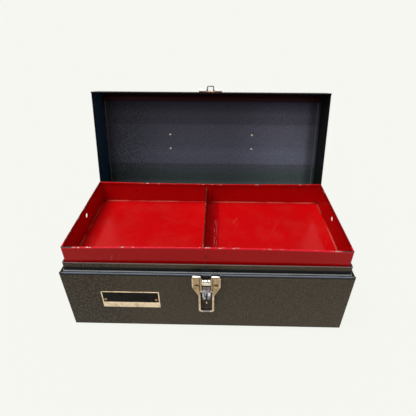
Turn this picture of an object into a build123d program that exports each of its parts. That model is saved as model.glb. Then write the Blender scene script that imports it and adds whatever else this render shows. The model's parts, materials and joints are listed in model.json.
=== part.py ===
from build123d import *
import os
from math import cos, radians, sin, tan

# A sheet-steel toolbox with a drop-in tray, shown open. Millimetres, +Z up, +X to the right,
# the front faces -Y. The origin is the middle of the face that the box stands on.

# The case
width = 406.4  # outside, left to right
depth = 185.0  # outside, front to back
shoulder = 112.0  # height of the body's rolled top edge
lid_depth = 50.0  # lid, from rim to top panel, outside
lid_open = 104.5  # degrees, from closed to resting open
rim_gap = 0.3  # closed lid rim above the shoulder
sheet = 1.0  # case sheet
bottom_bend = 2.8  # outside radius of the body's bottom folds
lid_bend = 17.5  # outside radius of the lid's front and back folds
hem_gap = 0.3  # between the two layers of a rolled edge
hem_fold = 6.0  # height of a rolled edge
end_inset = 0.4  # end panels inside the wrapped sheet's edge
end_flange = 6.0  # flange that joins an end to the wrap
end_bend = 1.4  # outside radius where the flange turns
weld_gap = 0.05  # between sheets that are spot-welded

# The collar that the lid closes over
collar_sheet = 0.8
collar_inset = 5.0  # collar's outside face, from the case's outside
collar_rise = 14.0  # above the shoulder
collar_drop = 18.0  # flange below the shoulder
collar_corner = 4.5  # plan radius at the flange
collar_hem_gap = 0.1
collar_fold = 5.0

# The tray and its ledges
tray_sheet = 0.9
tray_inset = 7.7  # tray's outside face, from the case's outside
tray_height = 41.4
tray_corner = 2.5
tray_bend = 2.0  # outside radius round the floor
tray_hem_gap = 0.2
tray_fold = 4.8
relief_radius = 2.6  # corner relief where the floor's folds meet
lift_hole_radius = 3.6
lift_hole_below_rim = 16.7
lift_hole_back = 7.5  # behind the tray's middle
ledge_sheet = 1.2
ledge_reach = 20.0  # ledge's inner edge, from the case's outside
ledge_length = 130.0
ledge_below = 2.4  # tray seat below the shoulder
ledge_flange = 16.0
ledge_gap = 0.3  # under the tray
divider_sheet = 0.9
divider_place = -5.0  # left of the middle
divider_flange = 8.0
divider_play = 0.25
divider_taper = 3.5  # each end leans in by this much, clear of the tray's springy walls

# The lid hinge, one long rolled hinge
hinge_length = 390.0
hinge_knuckles = 13
hinge_leaf = 1.0
hinge_leaf_width = 16.0
hinge_pin_radius = 1.5
hinge_play = 0.05
knuckle_gap = 0.4
knuckle_standoff = 0.15  # knuckle off the back wall
stop_tongue = 7.0  # from the pin to the tip
stop_tongue_width = 12.0
stop_gap = 0.1
pin_head_radius = 2.2
pin_head = 0.8

# The carrying handle
handle_rod_radius = 3.2
handle_play = 0.08
handle_spread = 77.5  # bracket middles, from the centre
handle_drop = 40.0  # pivot to grip
handle_corner = 12.0
bracket_sheet = 1.6
bracket_width = 14.0
bracket_length = 40.0
bracket_rivets = 27.0  # between a bracket's two rivets
handle_end_gap = 1.2  # bail leg to bracket

# The draw latch, its heights measured down from the shoulder
ear_outer = 19.5  # half width over the ears
ear_gap = 6.3  # half the gap between the ears
ear_drop = 16.0  # where the ears start to narrow
rail_drop = 33.5  # where they have narrowed to the rails
rail_outer = 11.0
rail_width = 2.7
lever_drop = 68.0  # the lever's lower end
lever_sheet = 1.5
lever_stand = 6.4  # back of the lever's face, from the case
lever_flange_stand = 2.0  # free edge of its flange, from the case
lever_corner = 4.5
hook_clear = 0.3  # the hook's tip above the strike, and its curl over the strike's lip
hook_inside = 1.3  # radius inside the hook's curl
hook_tip = 0.1
ear_chamfer = 1.6  # taken off the width of an ear's top
ear_chamfer_fall = 3.6  # and off its height
ear_slit_drop = 12.0
ear_slit = 0.9
ear_rib_rise = 1.1
link_pivot_drop = 8.7
link_pivot_stand = 4.4
lever_pivot_drop = 27.7
lever_pivot_stand = 4.2
link_pin_radius = 2.4
lever_pin_radius = 1.5
latch_play = 0.06
roll_radius = 3.9
link_knuckle = 3.0  # half width of the link's knuckle in the roll
link_half = 6.1
link_sheet = 1.2
link_eye_radius = 2.6
roll_gap = 1.2  # between the base's roll and the link's plate
base_sheet = 1.2
base_half = 6.3
base_foot_radius = 3.1
base_foot_drop = 46.1
base_notch_drop = 32.0
stud_drop = 57.0
stud_width = 2.0
stud_length = 3.8
stud_rise = 1.1

# The strike on the lid, with its padlock staple
strike_sheet = 1.0
strike_height = 17.0
strike_bend = 1.4
staple_gap = 0.2  # to the ear on each side
staple_stand = 11.0
staple_sheet = 1.8
staple_width = 6.0
staple_corner = 2.8  # outside radius
staple_rise = 3.0  # staple above the strike's lower edge
bridge_gap = 0.3  # pressed-out bridge in front of the staple, to each ear
bridge_stand = 3.0
bridge_width = 2.4
strike_rivet_spread = 12.5
strike_rivet_rise = 12.0

# Rivets
rivet_radius = 1.5
rivet_head_radius = 2.6
rivet_head = 1.1
rivet_tail_radius = 2.3
rivet_tail = 0.9

# The nameplate, left bare
plate_width = 84.0
plate_height = 33.0
plate_sheet = 0.6
plate_left = 51.2  # from the case's left end
plate_drop = 53.0  # its middle, below the shoulder
plate_corner = 1.0
plate_pin_inset = 5.0
plate_pin_radius = 1.5

# Worked out from the sizes above
hem_thick = 2 * sheet + hem_gap
lid_rim = shoulder + rim_gap
lid_top = lid_rim + lid_depth
pin_y = depth / 2 + knuckle_standoff + hinge_pin_radius + hinge_play + hinge_leaf
pin_z = shoulder
hinge_axis = Axis((0, pin_y, pin_z), (1, 0, 0))
end_face = width / 2 - end_inset
flange_inset = end_inset + hem_thick + weld_gap
tray_seat = shoulder - ledge_below
tray_rim = tray_seat + tray_height
tray_width = width - 2 * tray_inset
tray_depth = depth - 2 * tray_inset
plate_place = plate_left + (plate_width - width) / 2
plate_middle = shoulder - plate_drop
stud_shank = 0.35 * stud_width
stud_height = shoulder - stud_drop
lever_low = shoulder - lever_drop
ear_low = shoulder - ear_drop
rail_high = shoulder - rail_drop
ear_slit_height = shoulder - ear_slit_drop
link_pivot_height = shoulder - link_pivot_drop
lever_pivot_height = shoulder - lever_pivot_drop
base_foot_height = shoulder - base_foot_drop
base_notch_height = shoulder - base_notch_drop
hook_centre_height = lid_rim + strike_sheet + hook_clear + hook_tip
strike_lip_stand = lever_stand - hook_inside + strike_sheet / 2
strike_lip_rise = hook_centre_height + hook_inside - hook_clear - lid_rim
staple_half = ear_gap - staple_gap
bridge_half = ear_gap - bridge_gap


def front(off):
    """Y of a point that stands this far out from the case's front."""
    return -depth / 2 - off


def across(section, length, middle=0.0):
    """A section drawn in Y and Z, carried along X about a middle."""
    return Pos(middle - length / 2, 0, 0) * extrude(Plane.YZ * section, length)


def block(x0, x1, y0, y1, z0, z1):
    """A box between two corners."""
    middle = Pos((x0 + x1) / 2, (y0 + y1) / 2, (z0 + z1) / 2)
    return middle * Box(abs(x1 - x0), abs(y1 - y0), abs(z1 - z0))


def rod(radius, length, y, z, middle=0.0):
    """A round bar along X."""
    return Pos(middle, y, z) * Rot(0, 90, 0) * Cylinder(radius, length)


def strip(path, thickness, side):
    """A bent sheet in section: one face follows the path, the other lies to one side of it."""
    return make_face(offset(path, thickness, side=side, closed=True).edges())


def hem(thickness, gap, fold):
    """A rolled edge in section, outside face on x = 0, top on y = 0, folded towards +x."""
    radius = thickness + gap / 2
    straight = fold - radius
    side = Pos(radius, -radius - straight / 2)
    outer = Pos(radius, -radius) * Circle(radius) + side * Rectangle(2 * radius, straight)
    slot = Pos(radius, -radius) * Circle(gap / 2) + side * Rectangle(gap, straight)
    return outer - slot


def trough(closed_z, open_z, bend, inset=0.0, past=0.0):
    """The space inside the wrapped sheet in section, inset further or run past its open side."""
    up = 1 if open_z > closed_z else -1
    near = closed_z + up * (sheet + inset)
    far = open_z + up * past
    face = Pos(0, (near + far) / 2) * Rectangle(depth - 2 * (sheet + inset), abs(far - near))
    corners = face.vertices().sort_by(Axis.Y)
    closed_corners = corners[:2] if up > 0 else corners[-2:]
    return fillet(closed_corners, bend - sheet - inset)


def wrap(closed_z, open_z, bend):
    """Front, closed side and back in one folded sheet, with both free edges rolled inwards."""
    section = trough(closed_z, open_z, bend, -sheet, -hem_fold) - trough(closed_z, open_z, bend, 0, 1)
    edge = hem(sheet, hem_gap, hem_fold)
    if open_z < closed_z:
        edge = mirror(edge, Plane.XZ)
    edge = Pos(-depth / 2, open_z) * edge
    section = section + edge + mirror(edge, Plane.YZ)
    return across(section, width)


def end_panel(closed_z, open_z, bend, flange_stop):
    """The right-hand end: a pressed panel inside the wrap, flanged to it, with a rolled edge."""
    up = 1 if open_z > closed_z else -1
    pan = across(trough(closed_z, open_z, bend), end_flange, end_face - end_flange / 2)
    rim = pan.faces().sort_by(Axis.X)[-1].edges()
    turned = rim.filter_by(lambda e: abs(e.center().Z - open_z) > 0.01)
    pan = fillet(turned, end_bend)
    hollow = trough(closed_z, open_z, bend, sheet, 1)
    pan -= across(hollow, end_flange, end_face - sheet - end_flange / 2)
    inner, half = end_face - sheet, depth / 2
    stop = open_z - up * flange_stop
    pan -= block(inner - end_flange, inner, -half, half, stop, open_z + up)
    hem_half = half - hem_thick - weld_gap
    low = open_z - up * (hem_fold + weld_gap)
    for side in (-1, 1):
        pan -= block(inner - 1, end_face + 1, side * hem_half, side * half, low, open_z + up)
    radius = hem_thick / 2
    pan -= block(inner - 1, end_face + 1, -half, half, open_z - up * radius, open_z + up)
    edge = mirror(hem(sheet, hem_gap, hem_fold), Plane.YZ)
    if up < 0:
        edge = mirror(edge, Plane.XZ)
    section = Plane((0, hem_half, 0), x_dir=(1, 0, 0), z_dir=(0, -1, 0))
    rolled = extrude(section * Pos(end_face, open_z) * edge, 2 * hem_half)
    return pan + rolled


def band(section, inset, corner):
    """A section carried right round the case, its x = 0 line inset from the outside."""
    x, y = width / 2 - inset, depth / 2 - inset
    run = FilletPolyline((0, -y), (x, -y), (x, y), (0, y), radius=corner)
    start = Plane((0, -y, 0), x_dir=(0, 1, 0), z_dir=(1, 0, 0))
    half = sweep(start * section, run)
    return half + mirror(half, Plane.YZ)


def collar():
    """A joggled band: welded inside the rolled edge, stepped in and hemmed at its top."""
    step = collar_inset - flange_inset
    top = shoulder + collar_rise
    fold_radius = 0.48 * step
    path = FilletPolyline(
        (0, shoulder - collar_drop),
        (0, shoulder),
        (step, shoulder),
        (step, top - collar_fold),
        radius=fold_radius,
    )
    section = strip(path, collar_sheet, Side.RIGHT)
    section += Pos(step, top) * hem(collar_sheet, collar_hem_gap, collar_fold)
    return band(section, flange_inset, collar_corner)


def tray_ledge():
    """The right-hand ledge: a bent strip welded to the collar's flange, its top under the tray."""
    wall = width / 2 - flange_inset - collar_sheet - weld_gap
    shelf = width / 2 - tray_inset
    low = shoulder - collar_drop + 1
    seat = tray_seat - ledge_gap
    path = Polyline(
        (wall, low),
        (wall, low + ledge_flange - 5),
        (shelf, seat),
        (width / 2 - ledge_reach, seat),
    )
    section = strip(path, ledge_sheet, Side.LEFT)
    start = Plane((0, ledge_length / 2, 0), x_dir=(1, 0, 0), z_dir=(0, -1, 0))
    return extrude(start * section, ledge_length)


def tray():
    """The lift-out tray: a folded pan with a hemmed rim, corner reliefs and a hole in each end."""
    def plan(inset, z0, z1):
        outline = RectangleRounded(tray_width - 2 * inset, tray_depth - 2 * inset, tray_corner - inset)
        return Pos(0, 0, z0) * extrude(outline, z1 - z0)

    low = tray_rim - tray_fold
    pan = plan(0, tray_seat, low)
    pan = fillet(pan.edges().group_by(Axis.Z)[0], tray_bend)
    space = plan(tray_sheet, tray_seat + tray_sheet, tray_rim)
    space = fillet(space.edges().group_by(Axis.Z)[0], tray_bend - tray_sheet)
    pan -= space
    rim = Pos(0, tray_rim) * hem(tray_sheet, tray_hem_gap, tray_fold)
    pan += band(rim, tray_inset, tray_corner)
    place = tray_bend * 0.8
    for x in (-1, 1):
        for y in (-1, 1):
            corner = Pos(x * (tray_width / 2 - place), y * (tray_depth / 2 - place), tray_seat)
            pan -= corner * Cylinder(relief_radius, 4 * tray_sheet)
    holes = rod(lift_hole_radius, width, lift_hole_back, tray_rim - lift_hole_below_rim)
    return pan - holes


def divider():
    """The loose partition: it stands on the tray's floor and lifts out between the rolled rims."""
    low = tray_seat + tray_sheet + divider_play
    high = tray_rim - tray_fold - divider_play
    half = tray_depth / 2 - 2 * tray_sheet - tray_hem_gap - divider_play
    top_half = half - divider_taper
    plate = Polyline((-half, low), (half, low), (top_half, high), (-top_half, high), close=True)
    part = extrude(Plane.YZ * make_face(plate.edges()), divider_sheet)
    for side in (-1, 1):
        flange = Polyline(
            (side * half, low),
            (side * top_half, high),
            (side * (top_half - divider_sheet), high),
            (side * (half - divider_sheet), low),
            close=True,
        )
        part += extrude(Plane.YZ * make_face(flange.edges()), divider_flange)
    middle = (low + high) / 2
    bends = part.edges().filter_by(lambda e: e.center().X < 0.01 and abs(e.center().Z - middle) < 1)
    part = fillet(bends, 0.9 * divider_sheet)
    return Pos(divider_place - divider_sheet / 2, 0, 0) * part


def hinge_half(up, odd):
    """One leaf of the hinge with its knuckles, standing up (lid) or down (body) from the pin."""
    outer = hinge_pin_radius + hinge_play + hinge_leaf
    pitch = hinge_length / hinge_knuckles
    wall = depth / 2
    clear = outer + rim_gap
    y0, y1 = wall, wall + hinge_leaf
    leaf = block(-hinge_length / 2, hinge_length / 2, y0, y1, pin_z + up * clear, pin_z + up * hinge_leaf_width)
    arm = wall + knuckle_standoff
    for n in range(hinge_knuckles):
        if (n % 2 == 0) != odd:
            continue
        middle = (n - (hinge_knuckles - 1) / 2) * pitch
        length = pitch - knuckle_gap
        knuckle = rod(outer, length, pin_y, pin_z, middle)
        x0, x1 = middle - length / 2, middle + length / 2
        knuckle += block(x0, x1, arm, arm + hinge_leaf, pin_z, pin_z + up * (clear + 1))
        leaf += knuckle
    bore = rod(hinge_pin_radius + hinge_play, hinge_length + 2, pin_y, pin_z)
    return leaf - bore


def hinge_leaf_of_lid():
    """The lid's leaf, open, with the tongues that stop it against the body's leaf."""
    leaf = opened(hinge_half(1, False))
    pitch = hinge_length / hinge_knuckles
    y0 = depth / 2 + hinge_leaf + stop_gap
    for n in (-hinge_knuckles // 2 + 2, hinge_knuckles // 2 - 1):
        middle = n * pitch
        x0, x1 = middle - stop_tongue_width / 2, middle + stop_tongue_width / 2
        near = hinge_pin_radius + 0.25
        leaf += block(x0, x1, y0, y0 + hinge_leaf, pin_z - stop_tongue, pin_z - near)
    return leaf


def hinge_pin():
    """The pin, headed at both ends."""
    pin = rod(hinge_pin_radius, hinge_length + 0.2, pin_y, pin_z)
    for side in (-1, 1):
        place = side * (hinge_length / 2 + 0.1 + pin_head / 2)
        pin += rod(pin_head_radius, pin_head, pin_y, pin_z, place)
    return pin


def opened(part):
    """A piece of the closed lid, swung open about the hinge pin."""
    return part.rotate(hinge_axis, -lid_open)


def rivet(grip):
    """A domed rivet: head above the origin, tail below the sheets that it grips."""
    low = -grip
    outline = Line((0, low - rivet_tail), (0, rivet_head))
    outline += TangentArc((0, rivet_head), (rivet_head_radius, 0), tangent=(1, 0))
    outline += Line((rivet_head_radius, 0), (rivet_radius, 0))
    outline += Line((rivet_radius, 0), (rivet_radius, low))
    outline += Line((rivet_radius, low), (rivet_tail_radius, low))
    outline += TangentArc((0, low - rivet_tail), (rivet_tail_radius, low), tangent=(1, 0))
    return revolve(Plane.XZ * make_face(outline.edges()), Axis.Z)


def riveted(places, direction, grip):
    """One rivet at each place, headed towards the direction."""
    return [Plane(origin=place, z_dir=direction) * rivet(grip) for place in places]


def drilled(part, places, direction):
    """The piece with a rivet hole at each place."""
    for place in places:
        part -= Plane(origin=place, z_dir=direction) * Cylinder(rivet_radius, 12)
    return part


def bracket_places(side):
    """Where a handle bracket's rivets pass its feet, on the closed lid."""
    top = lid_top + bracket_sheet
    return [(side * handle_spread, n * bracket_rivets / 2, top) for n in (-1, 1)]


def handle_bracket(side):
    """A strap bent over the bail's end, riveted down fore and aft."""
    hole = handle_rod_radius + handle_play
    centre = handle_pivot_height()
    dome = Pos(0, centre) * Circle(hole + bracket_sheet)
    dome += Pos(0, centre / 2) * Rectangle(2 * (hole + bracket_sheet), centre)
    feet = Pos(0, bracket_sheet / 2) * Rectangle(bracket_length, bracket_sheet)
    section = feet + dome
    inner = section.vertices().filter_by(lambda v: abs(v.Y - bracket_sheet) < 0.01)
    corners = [v for v in inner if abs(v.X) < bracket_length / 2 - 1]
    section = fillet(corners, bracket_sheet / 2)
    section -= Pos(0, centre) * Circle(hole) + Pos(0, centre / 2) * Rectangle(2 * hole, centre)
    section -= Pos(0, -hole) * Rectangle(bracket_length, 2 * hole)
    strap = across(Pos(0, lid_top) * section, bracket_width, side * handle_spread)
    ends = strap.edges().filter_by(Axis.Z).filter_by(lambda e: abs(e.center().Y) > bracket_length / 2 - 1)
    strap = fillet(ends, bracket_width / 3)
    return drilled(strap, bracket_places(side), (0, 0, 1))


def handle_pivot_height():
    """The bail's pivot above the lid's top panel."""
    return handle_rod_radius + handle_play + rim_gap


def handle_bail():
    """The bail, one bent rod, folded back flat and then swung up to hang plumb when open."""
    z = lid_top + handle_pivot_height()
    leg = handle_spread - bracket_width / 2 - handle_end_gap - handle_rod_radius
    tip = handle_spread + bracket_width / 2 + 1
    points = [(tip, 0), (leg, 0), (leg, handle_drop), (-leg, handle_drop), (-leg, 0), (-tip, 0)]
    bend = 1.25 * handle_rod_radius
    path = FilletPolyline(*points, radius=[bend, handle_corner, handle_corner, bend])
    path = Pos(0, 0, z) * path
    start = Plane((tip, 0, z), z_dir=(-1, 0, 0))
    bail = sweep(start * Circle(handle_rod_radius), path)
    pivot = Axis((0, 0, z), (1, 0, 0))
    return opened(bail.rotate(pivot, lid_open - 90))


def strike_places():
    """Where the strike's rivets pass it, on the closed lid's front."""
    z = lid_rim + strike_rivet_rise
    return [(side * strike_rivet_spread, front(strike_sheet), z) for side in (-1, 1)]


def strike_plate():
    """The strike: two upturned lips for the latch's hooks, clear of the staple between them."""
    low = lid_rim
    path = FilletPolyline(
        (front(0), low + strike_height),
        (front(0), low),
        (front(strike_lip_stand), low),
        (front(strike_lip_stand), low + strike_lip_rise),
        radius=strike_bend,
    )
    part = across(strip(path, strike_sheet, Side.RIGHT), 2 * ear_outer)
    y0, y1 = front(strike_sheet), front(strike_lip_stand + 1)
    part -= block(-ear_gap, ear_gap, y0, y1, low - 1, low + strike_lip_rise + 1)
    upper = part.edges().filter_by(Axis.Y).group_by(Axis.Z)[-1]
    part = fillet(upper, 4 * strike_sheet)
    rise = bridge_stand - strike_sheet
    arch = ThreePointArc((-bridge_half, -y0), (0, rise - y0), (bridge_half, -y0))
    foot = Line((bridge_half, -y0), (-bridge_half, -y0))
    bridge = Plane.XY * make_face((arch + foot).edges())
    part += Pos(0, 0, low) * extrude(mirror(bridge, Plane.XZ), bridge_width)
    return drilled(part, strike_places(), (0, -1, 0))


def padlock_staple():
    """A strap loop for a padlock, standing out between the latch's ears."""
    y0, y1 = front(strike_sheet), front(staple_stand)
    width_out = 2 * staple_half
    outer = Pos(0, (y0 + y1) / 2) * Rectangle(width_out, y0 - y1)
    outer = fillet(outer.vertices().sort_by(Axis.Y)[:2], staple_corner)
    y1 += staple_sheet
    inner = Pos(0, (y0 + y1) / 2) * Rectangle(width_out - 2 * staple_sheet, y0 - y1)
    inner = fillet(inner.vertices().sort_by(Axis.Y)[:2], staple_corner - staple_sheet)
    z = lid_rim + staple_rise
    return Pos(0, 0, z) * extrude(outer - inner, staple_width)


def lever_outline():
    """The lever seen from the front: two ears that narrow to rails round a long window."""
    top = hook_centre_height + hook_inside + lever_sheet
    rail_inner = rail_outer - rail_width
    neck = lever_pivot_height + 2 * lever_pin_radius
    half = Polyline(
        (0, lever_low),
        (rail_outer, lever_low),
        (rail_outer, rail_high),
        (ear_outer, ear_low),
        (ear_outer, top - ear_chamfer_fall),
        (ear_outer - ear_chamfer, top),
        (ear_gap + ear_chamfer, top),
        (ear_gap, top - ear_chamfer_fall),
        (ear_gap, neck + rail_inner - ear_gap),
        (rail_inner, neck),
        (rail_inner, lever_low + rail_width),
        (0, lever_low + rail_width),
        close=True,
    )
    face = make_face(half.edges())
    corner = face.vertices().filter_by(lambda v: abs(v.X - rail_outer) < 0.01 and v.Y < lever_low + 1)
    face = fillet(corner, lever_corner)
    corner = face.vertices().filter_by(
        lambda v: abs(v.X - rail_inner) < 0.01 and v.Y < lever_low + rail_width + 1
    )
    face = fillet(corner, lever_corner - rail_width / 2)
    return face + mirror(face, Plane.YZ)


def facing(section, off0, off1):
    """A shape drawn in X and Z, made solid between two distances in front of the case."""
    start = Plane((0, front(off0), 0), x_dir=(1, 0, 0), z_dir=(0, -1, 0))
    return extrude(start * section, off1 - off0)


def latch_lever():
    """The pull lever of the draw latch, with a hook rolled on each ear."""
    back, face = lever_stand, lever_stand + lever_sheet
    curl = hook_inside + lever_sheet
    centre_off = lever_stand - hook_inside
    flat = Pos(front((back + face) / 2), (lever_low + hook_centre_height) / 2) * Rectangle(
        lever_sheet, hook_centre_height - lever_low
    )
    roll = Pos(front(centre_off), hook_centre_height) * (Circle(curl) - Circle(hook_inside))
    roll -= Pos(front(centre_off), hook_centre_height - curl) * Rectangle(3 * curl, 2 * curl)
    tip_off = centre_off - hook_inside - lever_sheet / 2
    tip = Pos(front(tip_off), hook_centre_height - hook_tip / 2) * Rectangle(lever_sheet, hook_tip)
    blank = across(flat + roll + tip, 2 * ear_outer)
    lever = blank & facing(lever_outline(), -1, face + 1)
    flange_top = lever_pivot_height + 2.5 * lever_pin_radius
    height = flange_top - lever_low
    rails = Pos(0, lever_low + height / 2) * Rectangle(2 * rail_outer, height)
    rails = fillet(rails.vertices().sort_by(Axis.Y)[:2], lever_corner)
    inside = rail_outer - lever_sheet
    hollow = Pos(0, lever_low + lever_sheet + height / 2) * Rectangle(2 * inside, height)
    hollow = fillet(hollow.vertices().sort_by(Axis.Y)[:2], lever_corner - lever_sheet)
    lever += facing(rails - hollow, lever_flange_stand, back + lever_sheet / 2)
    for side in (-1, 1):
        slit_in, slit_out = side * (rail_outer - 0.3), side * (ear_outer - rail_width)
        slit_top = ear_slit_height + ear_slit
        wide = Pos((slit_in + slit_out) / 2, front(face + ear_rib_rise / 2), ear_slit_height)
        narrow_middle = side * (rail_outer - rail_width / 2)
        narrow = Pos(narrow_middle, front(face - 0.1), rail_high + 2)
        rib = loft([
            wide * Rectangle(abs(slit_out - slit_in), ear_rib_rise + 0.4),
            narrow * Rectangle(rail_width * 0.6, 0.4),
        ])
        lever += rib
        slit_y = front(face + ear_rib_rise + 1)
        lever -= block(slit_in, slit_out, front(back - 1), slit_y, ear_slit_height, slit_top)
    lever -= rod(lever_pin_radius, 4 * rail_outer, front(lever_pivot_stand), lever_pivot_height)
    return lever


def latch_link():
    """The link between the base's roll and the lever's pin."""
    a = (front(link_pivot_stand), link_pivot_height)
    b = (front(lever_pivot_stand), lever_pivot_height)
    length = link_pivot_height - lever_pivot_height
    plate = Pos((a[0] + b[0]) / 2, (a[1] + b[1]) / 2) * Rectangle(link_sheet, length)
    neck = across(plate + Pos(*a) * Circle(roll_radius), 2 * link_knuckle)
    body = across(plate + Pos(*b) * Circle(link_eye_radius), 2 * link_half)
    clear = roll_radius + roll_gap
    body -= block(-width, width, front(-1), front(20), link_pivot_height - clear, shoulder)
    link = neck + body
    link -= rod(link_pin_radius + latch_play, 40, *a)
    return link - rod(lever_pin_radius + latch_play, 40, *b)


def latch_base_outline():
    """The base seen from the front: a strap that splits into two round feet."""
    top = link_pivot_height
    foot_x = base_half - base_foot_radius
    strap = Pos(0, (top + base_foot_height) / 2) * Rectangle(2 * base_half, top - base_foot_height)
    for side in (-1, 1):
        strap += Pos(side * foot_x, base_foot_height) * Circle(base_foot_radius)
    low = base_foot_height - base_foot_radius - 1
    notch = make_face(
        Polyline((-1.6, low), (1.6, low), (0.3, base_notch_height), (-0.3, base_notch_height), close=True).edges()
    )
    return strap - notch


def base_places():
    """Where the latch base's rivets pass it: one in each foot and one under the link."""
    foot_x = base_half - base_foot_radius
    y = front(base_sheet)
    upper = (lever_pivot_height + link_pivot_height) / 2
    return [(-foot_x, y, base_foot_height), (foot_x, y, base_foot_height), (0, y, upper)]


def latch_base():
    """The base: a strap riveted to the case, its top rolled round the link's pin."""
    base = facing(latch_base_outline(), 0, base_sheet)
    a = (front(link_pivot_stand), link_pivot_height)
    clear = roll_radius + roll_gap
    inner = link_knuckle + knuckle_gap / 2
    base -= block(-inner, inner, front(-1), front(base_sheet + 1), link_pivot_height - clear, shoulder)
    knuckle_width = link_half - inner
    for side in (-1, 1):
        base += rod(roll_radius, knuckle_width, *a, side * (inner + knuckle_width / 2))
    base -= rod(link_pin_radius, 40, *a)
    return drilled(base, base_places(), (0, -1, 0))


def stud():
    """The small upright catch in the lever's window, held by a shank in the case's sheet."""
    head = extrude(SlotOverall(stud_length, stud_width, rotation=90), stud_rise)
    head = fillet(head.edges().group_by(Axis.Z)[-1], 0.8 * stud_width / 2)
    return head + Pos(0, 0, -sheet / 2) * Cylinder(stud_shank, sheet)


def stud_place():
    """Where the catch is, on the case's front."""
    return (0, front(0), stud_height)


def nameplate():
    """A bare plate, held by a pin at each end."""
    outline = RectangleRounded(plate_width, plate_height, plate_corner)
    plate = facing(Pos(plate_place, plate_middle) * outline, 0, plate_sheet)
    for place in plate_places():
        plate -= Plane(origin=place, z_dir=(0, -1, 0)) * Cylinder(plate_pin_radius, 4)
    return plate


def plate_places():
    """Where the nameplate's pins are, on its face."""
    reach = plate_width / 2 - plate_pin_inset
    return [(plate_place + side * reach, front(plate_sheet), plate_middle) for side in (-1, 1)]


def plate_pin():
    """A round-headed drive pin that ends inside the case's sheet."""
    outline = Line((0, -plate_sheet - sheet), (0, rivet_head / 2))
    head = plate_pin_radius * 1.5
    outline += TangentArc((0, rivet_head / 2), (head, 0), tangent=(1, 0))
    outline += Line((head, 0), (plate_pin_radius, 0))
    outline += Line((plate_pin_radius, 0), (plate_pin_radius, -plate_sheet - sheet))
    outline += Line((plate_pin_radius, -plate_sheet - sheet), (0, -plate_sheet - sheet))
    return revolve(Plane.XZ * make_face(outline.edges()), Axis.Z)


def build():
    """Every node by name."""
    forward = (0, -1, 0)
    nodes = {}

    body = wrap(0, shoulder, bottom_bend)
    body = drilled(body, base_places(), forward)
    body -= Plane(origin=stud_place(), z_dir=forward) * Cylinder(stud_shank, 4)
    for place in plate_places():
        body -= Plane(origin=place, z_dir=forward) * Cylinder(plate_pin_radius, 4)
    nodes["body_wrap"] = body
    body_end = end_panel(0, shoulder, bottom_bend, collar_drop + 2)
    nodes["body_end_right"] = body_end
    nodes["body_end_left"] = mirror(body_end, Plane.YZ)
    nodes["collar_frame"] = collar()
    nodes["tray_ledge_right"] = tray_ledge()
    nodes["tray_ledge_left"] = mirror(tray_ledge(), Plane.YZ)
    nodes["nameplate"] = nameplate()
    nodes["nameplate_pins"] = [Plane(origin=p, z_dir=forward) * plate_pin() for p in plate_places()]

    nodes["hinge_leaf_body"] = hinge_half(-1, True)
    nodes["hinge_leaf_lid"] = hinge_leaf_of_lid()
    nodes["hinge_pin"] = hinge_pin()

    lid = wrap(lid_top, lid_rim, lid_bend)
    lid = drilled(lid, strike_places(), forward)
    lid = drilled(lid, bracket_places(-1) + bracket_places(1), (0, 0, 1))
    nodes["lid_wrap"] = opened(lid)
    lid_end = opened(end_panel(lid_top, lid_rim, lid_bend, hem_fold + 2))
    nodes["lid_end_right"] = lid_end
    nodes["lid_end_left"] = mirror(lid_end, Plane.YZ)
    nodes["strike_plate"] = opened(strike_plate())
    nodes["padlock_staple"] = opened(padlock_staple())
    strike_rivets = riveted(strike_places(), forward, strike_sheet + sheet)
    nodes["strike_rivets"] = [opened(r) for r in strike_rivets]
    nodes["handle_bracket_left"] = opened(handle_bracket(-1))
    nodes["handle_bracket_right"] = opened(handle_bracket(1))
    places = bracket_places(-1) + bracket_places(1)
    handle_rivets = riveted(places, (0, 0, 1), bracket_sheet + sheet)
    nodes["handle_rivets"] = [opened(r) for r in handle_rivets]
    nodes["handle_bail"] = handle_bail()

    nodes["latch_base"] = latch_base()
    nodes["latch_base_rivets"] = riveted(base_places(), forward, base_sheet + sheet)
    link_pin_length = 2 * link_half
    nodes["latch_base_pin"] = rod(
        link_pin_radius, link_pin_length, front(link_pivot_stand), link_pivot_height
    )
    upright = Plane(origin=stud_place(), x_dir=(1, 0, 0), z_dir=forward)
    nodes["latch_stud"] = upright * stud()
    nodes["latch_link"] = latch_link()
    nodes["latch_lever"] = latch_lever()
    nodes["latch_lever_pin"] = rod(
        lever_pin_radius, 2 * rail_outer + 0.8, front(lever_pivot_stand), lever_pivot_height
    )

    nodes["tray_pan"] = tray()
    nodes["tray_divider"] = divider()
    return nodes


os.makedirs("parts", exist_ok=True)
for name, shape in build().items():
    solids = []
    for piece in shape if isinstance(shape, list) else [shape]:
        solids += list(piece.solids())
    export_step(Compound(children=solids) if len(solids) > 1 else solids[0], f"parts/{name}.step")
    print(name, len(solids), round(sum(s.volume for s in solids), 1))
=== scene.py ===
# %% [markdown]
# # A steel toolbox with its lid open
# The toolbox's shapes come from a CAD model, packed as a frame of named nodes, in metres. This
# script dresses that frame: it keeps the nodes that already look right, puts finer pieces in the
# place of the stamped fittings, the rivets, the tray and the nameplate, and gives every piece a
# finish made of nodes.

# %% Load the frame
import json
import math
from types import SimpleNamespace
import bpy
import bmesh
from mathutils import Matrix, Vector


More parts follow.
